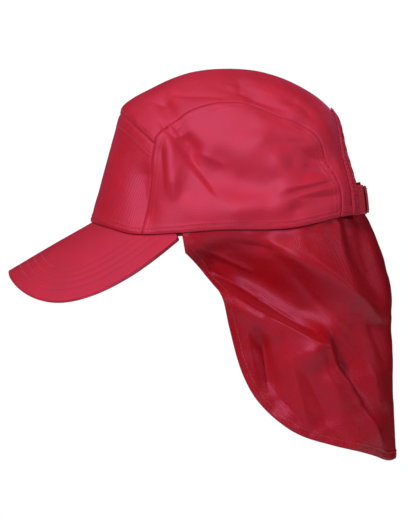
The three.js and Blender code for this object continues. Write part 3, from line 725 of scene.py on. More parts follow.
# %% [markdown]
# ## The front panel
# The panel over the forehead is lined, so it stands smooth and nearly flat, and only its edges and
# the foot of its side seams are pulled. It could be cut out of a larger sheet, but a cut leaves
# ragged faces beside the seams, where the eye looks, so its own grid runs from seam to seam.

# %% Front panel
def front_grid(columns, rows):
    across = spread(-1, 1, columns)

    def place(angle):
        share = front_seam_share(angle) + seam_gap / 2 / reach(angle)
        return share_between(across, turn_at(share))

    def below(angle):
        y, z = side_view(angle, place(angle))
        return z < rim_z(y)
    foot = bisect(0, crossing, below, across)
    top = crossing - seam_gap / 2 / crossing_reach
    angle = mix(foot[None], top, spread(0, 1, rows)[:, None])
    return angle, place(angle), side_of(across, angle)


angle, share, side = front_grid(150, 110)
outer = angle_point(angle, share, side, fine=True)
edges = [(outer[-1], 7.5, 0.55, 2), (outer[0], rim_row, 0.8, 4),
         (outer[:, 0], *unstitched), (outer[:, -1], *unstitched)]
front_piece = sewn_panel("front_panel_twill", outer, front_wall, edges, crown_twill,
                         cloth_lengths(outer))
place_piece(front_piece, "front_panel")

# %% [markdown]
# ## The top panel
# One strip runs from the crossing seam over the top of the head. At the back it meets the arch, and
# what is left of it goes down on each side as a leg, so the columns of its grid end on the arch in
# the middle and on the rim at the sides.

# %% Top panel
arch_columns, leg_columns, arch_share = 150, 16, 0.78


def seam_turn(angle):
    return turn_at(seam_share(angle) + seam_gap / 2 / reach(angle))


def arch_place(turn, grown):
    return ((arch_width / 2 + grown) * np.sin(turn),
            rim_at_arch + (arch_height + grown) * np.cos(turn))


def top_grid(rows):
    step = np.arange(-(arch_columns // 2 + leg_columns), arch_columns // 2 + leg_columns + 1)
    on_leg = np.abs(step) - arch_columns / 2
    across = np.where(on_leg <= 0, step / arch_columns * 2 * arch_share,
                      np.sign(step) * (arch_share + on_leg / leg_columns * (1 - arch_share)))
    away = np.abs(across)
    x, z = arch_place(np.minimum(away / arch_share, 1) * quarter, 0)
    end_angle, end_share = back_angle(x, z), share_at_out(x)

    def above(share_at):
        def test(angle):
            y, z = side_view(angle, share_at(angle))
            return z > rim_z(y)
        return test
    foot = bisect(quarter, math.pi, above(seam_share), away)
    leg_x = mix(arch_width / 2, out_at(seam_share(foot) + seam_gap / 2 / reach(foot)),
                np.clip(on_leg / leg_columns, 0, 1))
    leg_share = share_at_out(leg_x)
    leg_angle = bisect(quarter, math.pi, above(lambda angle: leg_share), away)
    end_angle = np.where(on_leg <= 0, end_angle, leg_angle)
    end_share = np.where(on_leg <= 0, end_share, leg_share)
    end_away = (quarter - turn_at(end_share)) / (quarter - seam_turn(end_angle))
    start = crossing + seam_gap / 2 / crossing_reach
    v = spread(0, 1, rows)[:, None]
    down = v * mix(0.75, 1, v)  # the rows lie a little closer together in front
    angle = mix(start, end_angle[None], down)
    spot = mix(away[None], end_away[None], down ** 2)
    return angle, share_between(spot, seam_turn(angle)), side_of(across, angle)


angle, share, side = top_grid(200)
outer = angle_point(angle, share, side, fine=True)
edges = [(outer[0], 3.0, 1.0, 6), (outer[:, 0], *unstitched), (outer[:, -1], *unstitched),
         (outer[-1, :leg_columns], rim_row, 0.8, 2), (outer[-1, -leg_columns:], rim_row, 0.8, 2)]
top_piece = sewn_panel("top_panel_twill", outer, cloth_wall, edges, crown_twill, cloth_lengths(outer))
place_piece(top_piece, "top_panel")

# %% [markdown]
# ## The binding of the arch
# A strip of the same twill is folded over the raw edge and stitched through. Its section is a U
# with a round back, carried round the arch with small gathers where it turns. A curve with a bevel
# would twist on the way, so each point of the section is laid on the crown's own surface.

# %% Arch binding
lip = layer_gap + binding_wall
binding_rows = (5.5, 1.6)  # distance of each row of its stitching from the arch's edge
steps = 240
turn = spread(-quarter, quarter, steps + 1)
bend = spread(-quarter, quarter, 9)
inner_face = cloth_wall + layer_gap
middle = cloth_wall / 2
outer_radius, slot_radius = cloth_wall / 2 + lip, cloth_wall / 2 + layer_gap
section = [(w, -lip) for w in spread(binding_width, 0.6, 7)]
section += [(-outer_radius * math.cos(b) * 0.95, middle + outer_radius * math.sin(b)) for b in bend]
section += [(w, inner_face + binding_wall) for w in spread(0.6, binding_width, 7)]
section += [(w, inner_face) for w in spread(binding_width, 0.4, 6)]
section += [(-slot_radius * math.cos(b) * 0.5, middle - slot_radius * math.sin(b)) for b in bend]
section += [(w, -layer_gap) for w in spread(0.4, binding_width, 6)]
gather = 0.14 * np.sin(turn * 42 + 2 * np.sin(turn * 5))
rings = []
for away, inward in section:
    if inward < -layer_gap - 0.01:  # only the face that shows is gathered, and grooved by a row
        inward = inward + 0.25 * math.exp(-((away - binding_rows[0]) / 0.6) ** 2) - gather
    x, z = arch_place(turn, away)
    rings.append(back_point(x, z, inward))
rings = np.stack(rings, 1)
around = len(section)
index = np.arange((steps + 1) * around).reshape(steps + 1, around)
following = np.roll(index, -1, axis=1)
faces = together(index[:-1], following[:-1], following[1:], index[1:]).reshape(-1, 4)
half = around // 2
caps = []
for row, order in ((index[0], 1), (index[-1], -1)):
    for k in range(half - 1):
        caps.append([row[k], row[around - 1 - k], row[around - 2 - k], row[k + 1]][::order])
faces = np.concatenate([faces, np.array(caps)])
run = lengths_along(rings[:, 0], 0)
uv = together(run[:, None], np.arange(around) * 0.8)
binding = finish_mesh("arch_binding_twill", rings.reshape(-1, 3), faces, crown_twill, uv.reshape(-1, 2))
place_piece(binding, "arch_binding")

# %% [markdown]
# ## The peak
# A stiff board between two layers of twill, held by rows of stitching that follow its edge. Its
# middle line slopes down and its sides fall away in a parabola. The edge is rounded, because the
# cloth is pulled round the board. A Solidify modifier would leave it square, so both faces are
# worked out and brought together there.

# %% The peak's outline
front_rim = ring(np.zeros(1), rim_z(np.array([-crown_length / 2])))[0]
corner_turn = float(turn_along(np.array([peak_corner_y]))[0])
corner = ring_at_rim(np.array([corner_turn]))[0]
middle_y = corner[1] * 0.45 + front_rim[1] * 0.55
tip_y = front_rim[1] - peak_reach


def board_z(x, y):
    return front_rim[2] + (y - front_rim[1]) * peak_slope - peak_sag * (x / peak_half_width) ** 2


def peak_edge(across):
    side_share = 0.78
    away = np.abs(across)
    turn = np.minimum(away / side_share, 1) * quarter
    power = 2 / peak_squareness
    x = peak_half_width * np.sin(turn) ** power
    y = middle_y + (tip_y - middle_y) * np.clip(np.cos(turn), 0, 1) ** power
    t = np.clip((away - side_share) / (1 - side_share), 0, 1)
    x = np.where(away > side_share, mix(peak_half_width, corner[0] + peak_wall, t ** 1.6), x)
    y = np.where(away > side_share, mix(middle_y, corner[1] + 1, t), y)
    return np.sign(across) * x, y


print("tip of the peak, mm:", [round(float(value), 1) for value in (tip_y, board_z(0, tip_y))])

# %% The peak's faces
columns, rows = 260, 110
across = spread(-1, 1, columns)
across = np.sign(across) * (1 - (1 - np.abs(across)) ** 1.15)
seam = ring_at_rim(across * corner_turn, inward=peak_tuck, fine=True)
edge_x, edge_y = peak_edge(across)
v = spread(0, 1, rows)[:, None] ** 0.92
x, y = mix(seam[None, :, 0], edge_x[None], v), mix(seam[None, :, 1], edge_y[None], v)
seat = seam[:, 2] - peak_seat - board_z(seam[:, 0], seam[:, 1])
board = together(x, y, board_z(x, y) + seat[None] * (1 - v) ** 2)
tangent_u, tangent_v = np.gradient(board, axis=1), np.gradient(board, axis=0)
peak_out = unit(np.cross(tangent_u, tangent_v))
peak_out = peak_out * np.sign(peak_out[..., 2:3])
from_edge, along_edge = nearest_on(board[-1], board)
rounding = 1 - np.sqrt(1 - (1 - np.clip(from_edge / (peak_wall / 2), 0, 1)) ** 2)
relief = -peak_wall / 2 * rounding
peak_rows = (11.0, 17.0, 23.0, 29.0)
for k, row_at in enumerate(peak_rows):
    relief = relief - 0.22 * np.exp(-((from_edge - row_at) / 0.7) ** 2)
    relief = relief + 0.08 * np.sin(along_edge / 2.6 + k) * np.exp(-((from_edge - row_at) / 2.5) ** 2)
relief = relief + 0.12 * ripple(x / 9, y / 9, 12)
relief = relief + 0.35 * ripple(x / 30, y / 26, 5) * ease(2, 12, from_edge)
upper = board + peak_out * relief[..., None]
under_relief = -peak_wall + peak_wall / 2 * rounding + 0.1 * ripple(x / 10, y / 8, 31)
lower = board + peak_out * under_relief[..., None]
peak_piece = sheet_piece("peak_twill_cover", upper, lower, peak_twill, together(x, y))
place_piece(peak_piece, "peak")

# %% [markdown]
# ## The strap
# Two ends of tape cross in the arch and cling to each other. Each is sewn inside the crown beside
# the arch, and its free end lies outside, so it comes through under the binding. It is laid on the
# crown's surface at a depth that changes along it, which a bent box wouldn't follow.

# %% Strap ends
strap_inside = cloth_wall + 2 * layer_gap + binding_wall + layer_gap
strap_foot = rim_at_arch + 1
anchor_out = arch_width / 2 + strap_anchor
past_strap = anchor_out + 10
strap_lift, strap_row = 0.6, 2.2


def tucked(out):
    """0 where the strap lies outside, 1 where it has passed inside the crown beside the arch."""
    return ease(arch_width / 2 - strap_drape, arch_width / 2, out)


def strap_end(name, node, side, lift, trim):
    out = spread(anchor_out, -strap_overlap, 120)
    v = spread(0, 1, 24)[:, None]
    edge = np.minimum(v, 1 - v) * strap_height
    end_edge = np.abs(out - out[-1])
    rolled = -0.35 * np.exp(-(edge / 0.6) ** 2) - 0.35 * np.exp(-(end_edge / 0.8) ** 2)
    stitched = -0.15 * np.exp(-((edge - strap_row) / 0.5) ** 2)
    wavy = 0.2 * ripple(out / 7, v * 2 + side, 17)
    height = strap_foot + trim + v * (strap_height - 2 * trim)
    inward = mix(lift, strap_inside, tucked(out))
    outer = back_point(side * out, height, inward - rolled - stitched - 0.6 * wavy + 0.15)
    inner = back_point(side * out, height, inward + strap_wall - 0.3 + rolled)
    piece = sheet_piece(name, outer, inner, strap_tape, together(out, v * strap_height))
    place_piece(piece, node)
    for row in (strap_row, strap_height - 2 * trim - strap_row):
        reach_in = spread(arch_width / 2 - 6, -strap_overlap + 2, 60)
        depth = mix(lift, strap_inside, tucked(reach_in))
        stitch_along(back_point(side * reach_in, strap_foot + trim + row, depth - 0.05), "strap")


strap_end("strap_under_tape", "strap_under", 1.0, strap_lift, 0.0)
strap_end("strap_over_tape", "strap_over", -1.0, strap_lift - strap_wall - layer_gap, 1.0)

# %% [markdown]
# ## The neck flap
# One sheet of satin-faced twill, sewn inside the rim from behind one corner of the peak round the
# back to the other. It hangs from a curved line, so it can't lie flat: it swells out behind the
# strap, sinks in below the ears and breaks into long folds that run to its free edge. A cloth
# simulation would give folds too, but not these, so its surface is shaped by the same strokes as
# its solid, with drapes and sharp creases on top. The edge's rows are the place round the flap,
# 1 in front and 0 at the back, then y, z and x as shares of the crown's and the flap's sizes.

# %% Flap tables
flap_edge = [(1, -0.151, -0.094, 0.965), (0.92, -0.083, -0.176, 0.965), (0.84, -0.022, -0.273, 0.955),
             (0.76, 0.007, -0.408, 0.95), (0.68, 0.047, -0.571, 0.93), (0.6, 0.108, -0.693, 0.9),
             (0.5, 0.224, -0.807, 0.84), (0.36, 0.368, -0.868, 0.7), (0.2, 0.516, -0.913, 0.42),
             (0.1, 0.575, -0.935, 0.2), (0, 0.606, -0.93, 0)]
free_y, free_z, free_x = (curve_through([(row[0], row[k] * size) for row in flap_edge])
                          for k, size in ((1, crown_length), (2, flap_length), (3, half_width)))
rim_along = curve_through([(1, -0.168), (0.92, -0.09), (0.84, -0.022), (0.76, 0.03), (0.68, 0.08),
                           (0.6, 0.135), (0.5, 0.22)])
swell_back = curve_through([(0, 0), (0.1, 0.62), (0.22, 1), (0.45, 0.75), (0.7, 0.45), (1, 0)])
swell_out = curve_through([(0, 0), (0.1, -0.2), (0.22, -0.3), (0.45, 0.1), (0.7, 0.35), (1, 0)])
flap_folds = scaled([(-0.05, -0.14, 0.3, -0.33, 0.1, -0.06), (0.03, -0.28, 0.3, -0.44, 0.07, 0.04),
                     (0.2, -0.08, 0.46, -0.32, 0.07, 0.035), (0.38, -0.36, 0.45, -0.7, 0.085, -0.05),
                     (0.29, -0.5, 0.45, -0.84, 0.06, 0.035), (0.13, -0.48, 0.18, -0.68, 0.055, -0.022),
                     (0.5, -0.25, 0.54, -0.75, 0.06, 0.03)], crown_length, flap_length)
flap_creases = [
    (-12, -31, 24, -52, 3.0, -2.4), (24, -52, 66, -76, 3.0, -3.2), (-4, -40, 26, -62, 3.4, 2.2),
    (26, -62, 64, -84, 3.4, 2.8), (66, -77, 77, -105, 3.6, 3.6), (77, -105, 90, -126, 3.6, 3.6),
    (90, -126, 112, -164, 4.0, 3.2), (84, -92, 94, -122, 4.5, -3.0), (60, -24, 104, -66, 4.5, 3.0),
    (50, -34, 88, -70, 4.0, -2.6), (92, -30, 112, -62, 4.5, -2.4), (108, -36, 114, -104, 4.0, 2.4),
    (26, -84, 30, -118, 3.4, -2.0), (54, -104, 74, -140, 4.0, -2.2), (44, -98, 58, -146, 3.6, 1.6),
    (0, -8, 40, -16, 4.0, -2.0), (30, -10, 62, -34, 3.4, 2.0), (98, -96, 106, -128, 4.0, 2.4),
    (36, -120, 60, -150, 3.0, -1.4), (70, -140, 84, -158, 3.2, -1.6), (-20, -14, 16, -30, 3.2, 1.5),
    (14, -76, 20, -104, 3.2, 1.4), (72, -58, 92, -88, 3.6, 1.8), (100, -70, 110, -100, 3.4, -1.8),
]
flap_drapes = [
    ([(-40, -12), (-10, -33), (24, -52), (50, -66), (74, -84)], 40, 6.5, -10.0),
    ([(52, -62), (68, -80), (76, -105), (88, -124), (118, -172)], 13, 34, 7.5),
    ([(20, 4), (70, -34), (124, -72)], 26, 9, 7.0), ([(88, 4), (98, -42), (112, -88)], 7, 9, -6.0),
    ([(56, -101), (84, -99), (112, -92)], 34, 13, -5.5),
    ([(20, -68), (26, -90), (35, -122)], 6, 14, -3.6), ([(58, -92), (66, -116), (76, -150)], 5, 14, -3.6),
    ([(4, -52), (26, -70), (40, -84)], 6, 10, 2.6), ([(98, -70), (104, -108), (114, -140)], 7, 12, 4.0),
]
far_flap_fold, far_flap_crease, far_flap_sway = 0.85, 0.6, 1.6
print("the flap has", len(flap_folds), "broad folds,", len(flap_creases), "creases and",
      len(flap_drapes), "drapes")

# %% How deep the flap's edge lies
def flap_inward(x, y):
    """How deep the flap's upper edge lies, to pass inside the crown or the strap's sewn ends."""
    out = np.abs(x)
    inside_sides = cloth_wall + layer_gap
    inside_strap = strap_inside + strap_wall + layer_gap
    inside_middle = strap_lift + strap_wall + layer_gap
    past = ease(anchor_out, past_strap, out)
    back = mix(mix(inside_middle, inside_strap, tucked(out)), inside_sides, past)
    return np.where(y < 0, inside_sides, back)


print("depth of the flap behind the strap, mm:", round(float(flap_inward(0.0, crown_length / 2)), 2))

# %% [markdown]
# The surface starts as straight lines from the rim to the free edge. It is worked out for the near
# side and mirrored, and then swell, folds, creases and gathers push it along one way out, which
# turns from sideways at the ears to backwards behind the strap.

# %% Flap surface
columns, rows = 281, 170
across = spread(1, -1, columns)
around_share = np.abs(across)
side = np.where(across < 0, -1.0, 1.0)
back_turn = float(turn_along(rim_along(np.array([0.5])) * crown_length)[0])
turn = np.where(around_share >= 0.5, turn_along(rim_along(around_share) * crown_length),
                mix(math.pi, back_turn, around_share / 0.5))
rough = ring(turn, 0.0)
rim_level = rim_z(rough[:, 1])
inward = flap_inward(rough[:, 0], rough[:, 1])
in_arch = 1 - ease(arch_width / 2 - 5, arch_width / 2 + 10, rough[:, 0])
stand = mix(flap_tuck, flap_stand, np.where(rough[:, 1] > 0, in_arch, 0))
top = ring(turn, rim_level + stand, fine=True)
rim = ring(turn, rim_level, fine=True)
top = top - outwards(top) * inward[:, None]
rim = rim - outwards(rim) * inward[:, None]
soft_share = around_share ** 2 * 1.05 / (around_share + 0.05)  # no kink in the middle of the back
free_edge = together(free_x(around_share), free_y(soft_share), free_z(soft_share))
back = ease(0.75, 0.0, around_share)
outward = unit(together(1 - back, back, 0))
span = np.linalg.norm(free_edge - rim, axis=-1)
tuck_rows = 14
t = spread(0, 1, rows - tuck_rows)[:, None, None]
hang = mix(rim[None], free_edge[None], t)
print("from the rim to the free edge, mm:", span.min().round(1), "to", span.max().round(1))

# %% Swell, folds and gathers
t = t[..., 0]
swell = mix(swell_out(t), swell_back(t), back[None]) * flap_bulge * (span / flap_length)[None]
below = t * span[None]
flat_y, flat_z = hang[..., 1], hang[..., 2]
folds = mix(1, 0.15, back)[None] * stroke_sum(flap_folds, flat_y, flat_z)
folds = folds * ease(band_drop, 0.14 * flap_length, below)
creases = crease_gain * mix(1, 0.6, back)[None] * stroke_sum(flap_creases, flat_y, flat_z, sharp=True)
drapes = sum(drape(*fold, flat_y, flat_z) for fold in flap_drapes)
creases = creases + mix(1, 0.35, back)[None] * drapes
creases = creases * ease(2.0, 16.0, below)
near = ease(-0.2, 0.2, across)[None]
folds, creases = mix(far_flap_fold, 1, near) * folds, mix(far_flap_crease, 1, near) * creases
sway = ripple(flat_y / 16, flat_z / 34, 51) * ease(8, 40, below)
folds = folds + mix(far_flap_sway, 0, near) * sway
run_round = lengths_along(rim, 0)[None]
gathers = 0.9 * ripple(run_round / 4.2, below / 40, 21) * ease(0, 6, below) * np.exp(-below / 16)
uneven = 0.35 * ripple(run_round / 13, below / 12, 14) + 0.14 * ripple(run_round / 5, below / 4, 9)
total = swell + folds + creases + gathers + uneven * ease(1.0, 12.0, below)
smooth_hang = hang * together(side, 1, 1)[None]
hang = hang + outward[None] * total[..., None]
tuck = mix(top[None], rim[None], spread(0, 1, tuck_rows + 1)[:-1, None, None])
flap_face = np.concatenate([tuck, hang])
flap_face[..., 0] *= side[None]
print("flap grid:", flap_face.shape[:2], "deepest push, mm:", round(float(np.abs(total).max()), 1))

# %% [markdown]
# The free edge is turned over and stitched down. That hem stands a little proud, dips at its row of
# stitches and puckers beside it. The weave follows the surface before its folds, so that they don't
# stretch it.

# %% Flap hem and mesh
hem_width, hem_row = 6.0, 5.0
along_u, along_v = np.gradient(flap_face, axis=1), np.gradient(flap_face, axis=0)
flap_cross = np.cross(along_v, along_u)
flap_out = unit(flap_cross)
border = np.concatenate([flap_face[tuck_rows + 3:, 0], flap_face[-1], flap_face[:tuck_rows + 3:-1, -1]])
from_hem, along_hem = nearest_on(border, flap_face)
pucker = np.sin(along_hem / 2.9 + 2 * np.sin(along_hem / 31))
edge_fall = np.exp(-(from_hem / 0.5) ** 2)
hem = 0.4 * (1 - ease(hem_width, hem_width + 0.8, from_hem))
hem = hem - 0.3 * np.exp(-((from_hem - hem_row) / 0.6) ** 2)
hem = hem + 0.35 * pucker * np.exp(-((from_hem - hem_row) / 3.0) ** 2)
hem = hem - 0.4 * edge_fall
flap_outer = flap_face + flap_out * hem[..., None]
flap_inner = flap_face - flap_out * (flap_wall + 0.15 - 0.5 * edge_fall)[..., None]
run_across = lengths_along(smooth_hang, 1)
run_across = run_across - run_across[:, columns // 2][:, None]
run_across = np.concatenate([np.repeat(run_across[:1], tuck_rows, axis=0), run_across])
run_tucked = spread(-1, 0, tuck_rows + 1)[:-1, None] * stand[None]
run_down = np.concatenate([run_tucked, lengths_along(smooth_hang, 0)])
flap_piece = sheet_piece("neck_flap_twill", flap_outer, flap_inner, flap_twill_painted_shade,
                         together(run_across, run_down))
place_piece(flap_piece, "neck_flap")
print("flap area, m2:", round(float(np.linalg.norm(flap_cross, axis=-1).sum()) * MM ** 2, 4),
      "widest, m:", round(float(lengths_along(flap_face, 1)[:, -1].max()) * MM, 3),
      "longest, m:", round(float(lengths_along(flap_face, 0)[-1].max()) * MM, 3))

# %% [markdown]
# ## The sweatband
# It hides the raw edges inside the rim and ends beside the arch. From outside only its lower edge
# shows, between the peak's corner and the flap. It is a grid like the panels', at a depth that
# leaves room for the flap and for the sewn ends of the strap.

# %% Sweatband
end_turn = float(bisect(quarter, math.pi, lambda a: ring(a, rim_at_arch)[..., 0] > arch_width / 2,
                        np.zeros(1))[0])
turn = spread(-end_turn, end_turn, 300)
rough = ring(turn, 0.0)
sides = cloth_wall + layer_gap + flap_wall + layer_gap
at_foot = strap_inside + strap_wall + layer_gap + flap_wall + layer_gap
beside = mix(at_foot, sides, ease(past_strap, past_strap + 10, np.abs(rough[:, 0])))
inward = np.where(rough[:, 1] < 0, sides, beside)
v = spread(0, 1, 26)[:, None]
level = rim_z(rough[:, 1])[None] - band_drop + v * band_height
place = ring(turn, level, fine=True)
normal = outwards(place)
edge = np.minimum(v, 1 - v) * band_height
soft = 0.3 - 0.3 * np.exp(-(edge / 0.9) ** 2) - 0.25 * np.exp(-((edge - 3) / 0.6) ** 2)
soft = soft + 0.15 * ripple(turn * 20, v * 5, 41)
outer = place - normal * inward[None, :, None]
inner = place - normal * (inward[None] + band_wall + soft - 0.2)[..., None]
band = sheet_piece("sweatband_cloth", outer, inner, band_cloth,
                   together(lengths_along(place, 1), v * band_height))
place_piece(band, "sweatband")

# %% [markdown]
# ## Where the rows of stitching run
# Every seam of the crown is pressed to one side and topstitched a few millimetres from its edge.
# The rows are polylines on the finished surface, each with the way out of the cloth, ready for a
# Geometry Nodes tree that sets a stitch wherever a needle would.

# %% Stitch rows
def inset_side_line(inset, side):
    front_foot, back_foot = side_edges(inset, 3.0)
    angle = spread(front_foot, crossing + 0.035, 90)
    front = side_view(angle, front_seam_share(np.minimum(angle, crossing)), inset)
    angle = spread(crossing + 0.05, back_foot, 260)
    y, z = np.concatenate([front, side_view(angle, seam_share(angle), inset)], axis=1)
    return side_point(y, z, side, inward=-0.02, fine=True)


for side in (1.0, -1.0):
    stitch_along(inset_side_line(seam_row + seam_gap / 2, side), "crown")

crossing_rows = (3.4, -7.9)  # millimetres above the crossing seam
across = spread(-1, 1, 200)
share = share_between(across, turn_at(seam_share(crossing) + 0.012))
for shift in crossing_rows:
    angle = crossing + shift / crossing_reach
    stitch_along(angle_point(angle, share, np.sign(across), inward=-0.05, fine=True), "crown")

rim_turn = spread(-end_turn, end_turn, 500)
stitch_along(ring_at_rim(rim_turn, above=rim_row, inward=-0.1, fine=True), "crown")

for away in binding_rows:
    x, z = arch_place(spread(-quarter * 0.97, quarter * 0.97, 200), away)
    stitch_along(back_point(x, z, -lip + 0.15), "crown")

for row_at in peak_rows:
    points, outs = [], []
    for k in range(4, board.shape[1] - 4):
        distance = from_edge[:, k]
        order = np.argsort(distance)
        if distance.max() < row_at + 1:
            continue
        point = [np.interp(row_at, distance[order], upper[order, k, axis]) for axis in range(3)]
        points.append(point)
        outs.append(peak_out[int(np.abs(distance - row_at).argmin()), k])
    if points:
        stitch_lines.append((np.array(points), np.array(outs), "peak"))

hem_points, hem_outs = [], []
for k in range(3, flap_face.shape[1] - 3):
    distance = from_hem[tuck_rows:, k]
    low = len(distance) - 1 - int(np.argmax(distance[::-1] > hem_row))
    if distance.max() > hem_row and low > 6:
        hem_points.append(flap_outer[tuck_rows + low, k])
        hem_outs.append(flap_out[tuck_rows + low, k])
stitch_lines.append((np.array(hem_points), np.array(hem_outs), "flap"))
print("rows of stitching:", len(stitch_lines))

# %% [markdown]
# ## Stitches by Geometry Nodes
# A stitch is a short thread that dips at both ends. The tree resamples each row at the needle's
# pitch, sets one stitch on each point, turns it along the row and then away from the cloth, and
# makes it all real mesh. One tree serves every row, because its sizes are named inputs.

# %% One stitch
def stitch_mesh(name, length, thickness):
    around, along = 6, 6
    vertices, faces = [], []
    for i in range(along + 1):
        t = i / along * 2 - 1
        radius = thickness / 2 * math.sqrt(max(1 - abs(t) ** 3, 0.06))
        lift = thickness * (0.55 - 0.75 * t * t)
        for k in range(around):
            a = 2 * math.pi * k / around
            vertices.append((t * length / 2, radius * math.cos(a), lift + radius * math.sin(a)))
    for i in range(along):
        for k in range(around):
            n = (k + 1) % around
            faces.append((i * around + k, i * around + n, (i + 1) * around + n, (i + 1) * around + k))
    faces.append(tuple(range(around))[::-1])
    faces.append(tuple(along * around + k for k in range(around)))
    mesh = bpy.data.meshes.new(name)
    mesh.from_pydata(vertices, [], faces)
    mesh.polygons.foreach_set("use_smooth", np.ones(len(faces), bool))
    return bpy.data.objects.new(name, mesh)


print("one stitch is a tube of 6 sides in 6 steps")

# %% The stitch tree
def stitch_tree():
    tree = bpy.data.node_groups.new("topstitching", "GeometryNodeTree")
    for name, way, kind in (("Rows", "INPUT", "Geometry"), ("Stitch pitch", "INPUT", "Float"),
                            ("Stitch", "INPUT", "Object"), ("Thread", "INPUT", "Material"),
                            ("Stitches", "OUTPUT", "Geometry")):
        tree.interface.new_socket(name, in_out=way, socket_type="NodeSocket" + kind)
    g = Graph(tree)
    given = tree.nodes.new("NodeGroupInput")
    rows, pitch, stitch, thread = (Socket(g, given.outputs[k]) for k in range(4))
    curve = g.node("GeometryNodeMeshToCurve", None, Mesh=rows)
    even = g.node("GeometryNodeResampleCurve", {"mode": "LENGTH"}, Curve=curve, Length=pitch)
    way_out = g.node("GeometryNodeInputNamedAttribute", {"data_type": "FLOAT_VECTOR"}, Name="way_out")
    tangent = g.node("GeometryNodeInputTangent")
    turned = g.node("FunctionNodeAxesToRotation", {"primary_axis": "Z", "secondary_axis": "X"},
                    way_out, tangent)
    single = g.node("GeometryNodeObjectInfo", None, Object=stitch, output="Geometry")
    placed = g.node("GeometryNodeInstanceOnPoints", None, Points=even, Instance=single, Rotation=turned)
    real = g.node("GeometryNodeRealizeInstances", None, placed)
    painted = g.node("GeometryNodeSetMaterial", None, Geometry=real, Material=thread)
    tree.links.new(painted.socket, tree.nodes.new("NodeGroupOutput").inputs[0])
    return tree


tree = stitch_tree()
socket_id = {item.name: item.identifier for item in tree.interface.items_tree if item.in_out == "INPUT"}
print("inputs of the tree:", sorted(socket_id))

# %% Sew every row
def sew(name, group, pitch, length, thickness):
    points, outs, edges = [], [], []
    for line, way_out, belongs in stitch_lines:
        if belongs == group:
            start = sum(len(part) for part in points)
            points.append(line)
            outs.append(way_out)
            edges += [(start + k, start + k + 1) for k in range(len(line) - 1)]
    mesh = bpy.data.meshes.new(name + "_rows")
    mesh.from_pydata((np.concatenate(points) * MM).tolist(), edges, [])
    attribute = mesh.attributes.new("way_out", "FLOAT_VECTOR", "POINT")
    attribute.data.foreach_set("vector", np.concatenate(outs).astype(np.float32).ravel())
    rows_object = add_object(name + "_rows", mesh)
    stitch = stitch_mesh(name + "_stitch", length * MM, thickness * MM)
    modifier = rows_object.modifiers.new("topstitching", "NODES")
    modifier.node_group = tree
    modifier[socket_id["Stitch pitch"]] = pitch * MM
    modifier[socket_id["Stitch"]] = stitch
    modifier[socket_id["Thread"]] = red_thread
    ready = rows_object.evaluated_get(bpy.context.evaluated_depsgraph_get())
    result = bpy.data.meshes.new_from_object(ready)
    result.name = name
    piece = add_object(name, result)
    bpy.data.objects.remove(rows_object)
    bpy.data.objects.remove(stitch)
    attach(piece, "root")
    print(name, len(result.polygons), "faces")
    return piece


sew("crown_topstitching", "crown", 3.0, 2.5, 0.42)
sew("peak_topstitching", "peak", 3.0, 2.5, 0.42)
sew("strap_topstitching", "strap", 2.6, 2.1, 0.38)
hem_stitching = sew("flap_topstitching", "flap", 3.0, 2.5, 0.40)

print("declared as hung cloth:", flap_piece.name, "with", hem_stitching.name)

# %% [markdown]
# ## Studio
# The cap is held up by the head that isn't shown, over a disc of plain pale paper. The key light
# stands in front of the near side, a wider one hangs above and a weak one stands behind, as in a
# shop picture. The backdrop looks white but lights the cap only dimly, so the folds keep their dark
# sides.

# %% Floor
floor_radius, floor_level, floor_sides = 0.8, -0.32, 96
paper_dark, paper_light = (0.80, 0.80, 0.80), (0.86, 0.86, 0.86)


def paper_floor():
    turns = np.arange(floor_sides) * math.tau / floor_sides
    vertices = [(floor_radius * math.cos(a), floor_radius * math.sin(a), floor_level) for a in turns]
    mesh = bpy.data.meshes.new("floor")
    mesh.from_pydata(vertices, [], [tuple(range(floor_sides))])
    material, g = start_material("pale_paper")
    grain = g.node("ShaderNodeTexNoise", None, Scale=40.0)
    shade = g.node("ShaderNodeValToRGB", {"stops": [(0.0, paper_dark), (1.0, paper_light)]}, grain)
    close_material(g, shade, 0.9, g.node("ShaderNodeBump", None, Strength=0.02, Height=grain))
    mesh.materials.append(material)
    return add_object("floor", mesh)


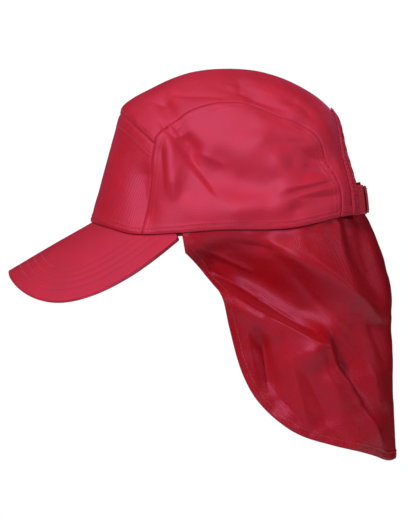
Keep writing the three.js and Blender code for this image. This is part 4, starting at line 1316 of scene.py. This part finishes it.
paper_floor()
print("the floor lies", -floor_level, "m below the rim")

# %% Lights and backdrop
def aim(thing, target):
    way = np.array(target, float) - np.array(thing.location, float)
    yaw = math.atan2(way[0], way[1])
    rise = math.atan2(way[2], math.hypot(way[0], way[1]))
    thing.rotation_euler = (quarter + rise, 0, -yaw)


def area_light(name, place, size, power):
    light = bpy.data.lights.new(name, "AREA")
    light.shape, light.size, light.energy = "DISK", size, power
    lamp = add_object(name, light)
    lamp.location = place
    aim(lamp, (0, 0, 0))


area_light("key", (1.9, -0.9, 1.2), size=0.4, power=56)
area_light("top", (0.3, -0.4, 2.3), size=0.8, power=15)
area_light("rear", (1.0, 1.7, 1.0), size=0.6, power=13)
world = bpy.data.worlds.new("studio")
world.use_nodes = True
world.node_tree.nodes.clear()
g = Graph(world.node_tree)
seen = g.node("ShaderNodeLightPath", output="Is Camera Ray")
bounced = Socket(g, seen.socket.node.outputs["Is Diffuse Ray"])
glow = seen + bounced * 0.05 + 0.01
backdrop = g.node("ShaderNodeBackground", None, Color=(1, 1, 1, 1), Strength=glow)
g.node("ShaderNodeOutputWorld", None, Surface=backdrop)
bpy.context.scene.world = world
bpy.context.scene.view_settings.view_transform = "Standard"
print("lamps:", [light.name for light in bpy.data.lights])

# %% [markdown]
# The photo was taken square on from the near side. A long lens from four metres away shows the cap
# almost without perspective, and the picture's middle is found from where the frame's origin lies
# in the photo and how many millimetres one of its pixels spans.

# %% Camera
picture_wide, picture_high, pixel = 409, 520, 0.75 * MM
origin_px, origin_py = 228, 230  # where the frame's origin lies in the photo
distance = 4.0
camera = bpy.data.cameras.new("camera")
camera.sensor_fit, camera.sensor_width = "AUTO", 36.0
camera.lens = 36.0 * distance / (picture_high * pixel)
camera.clip_end = 50
eye = add_object("camera", camera)
target = (0.0, (picture_wide / 2 - origin_px) * pixel, (origin_py - picture_high / 2) * pixel)
eye.location = (distance, target[1], target[2])
aim(eye, target)
bpy.context.scene.camera = eye
print("lens, mm:", round(camera.lens, 1))
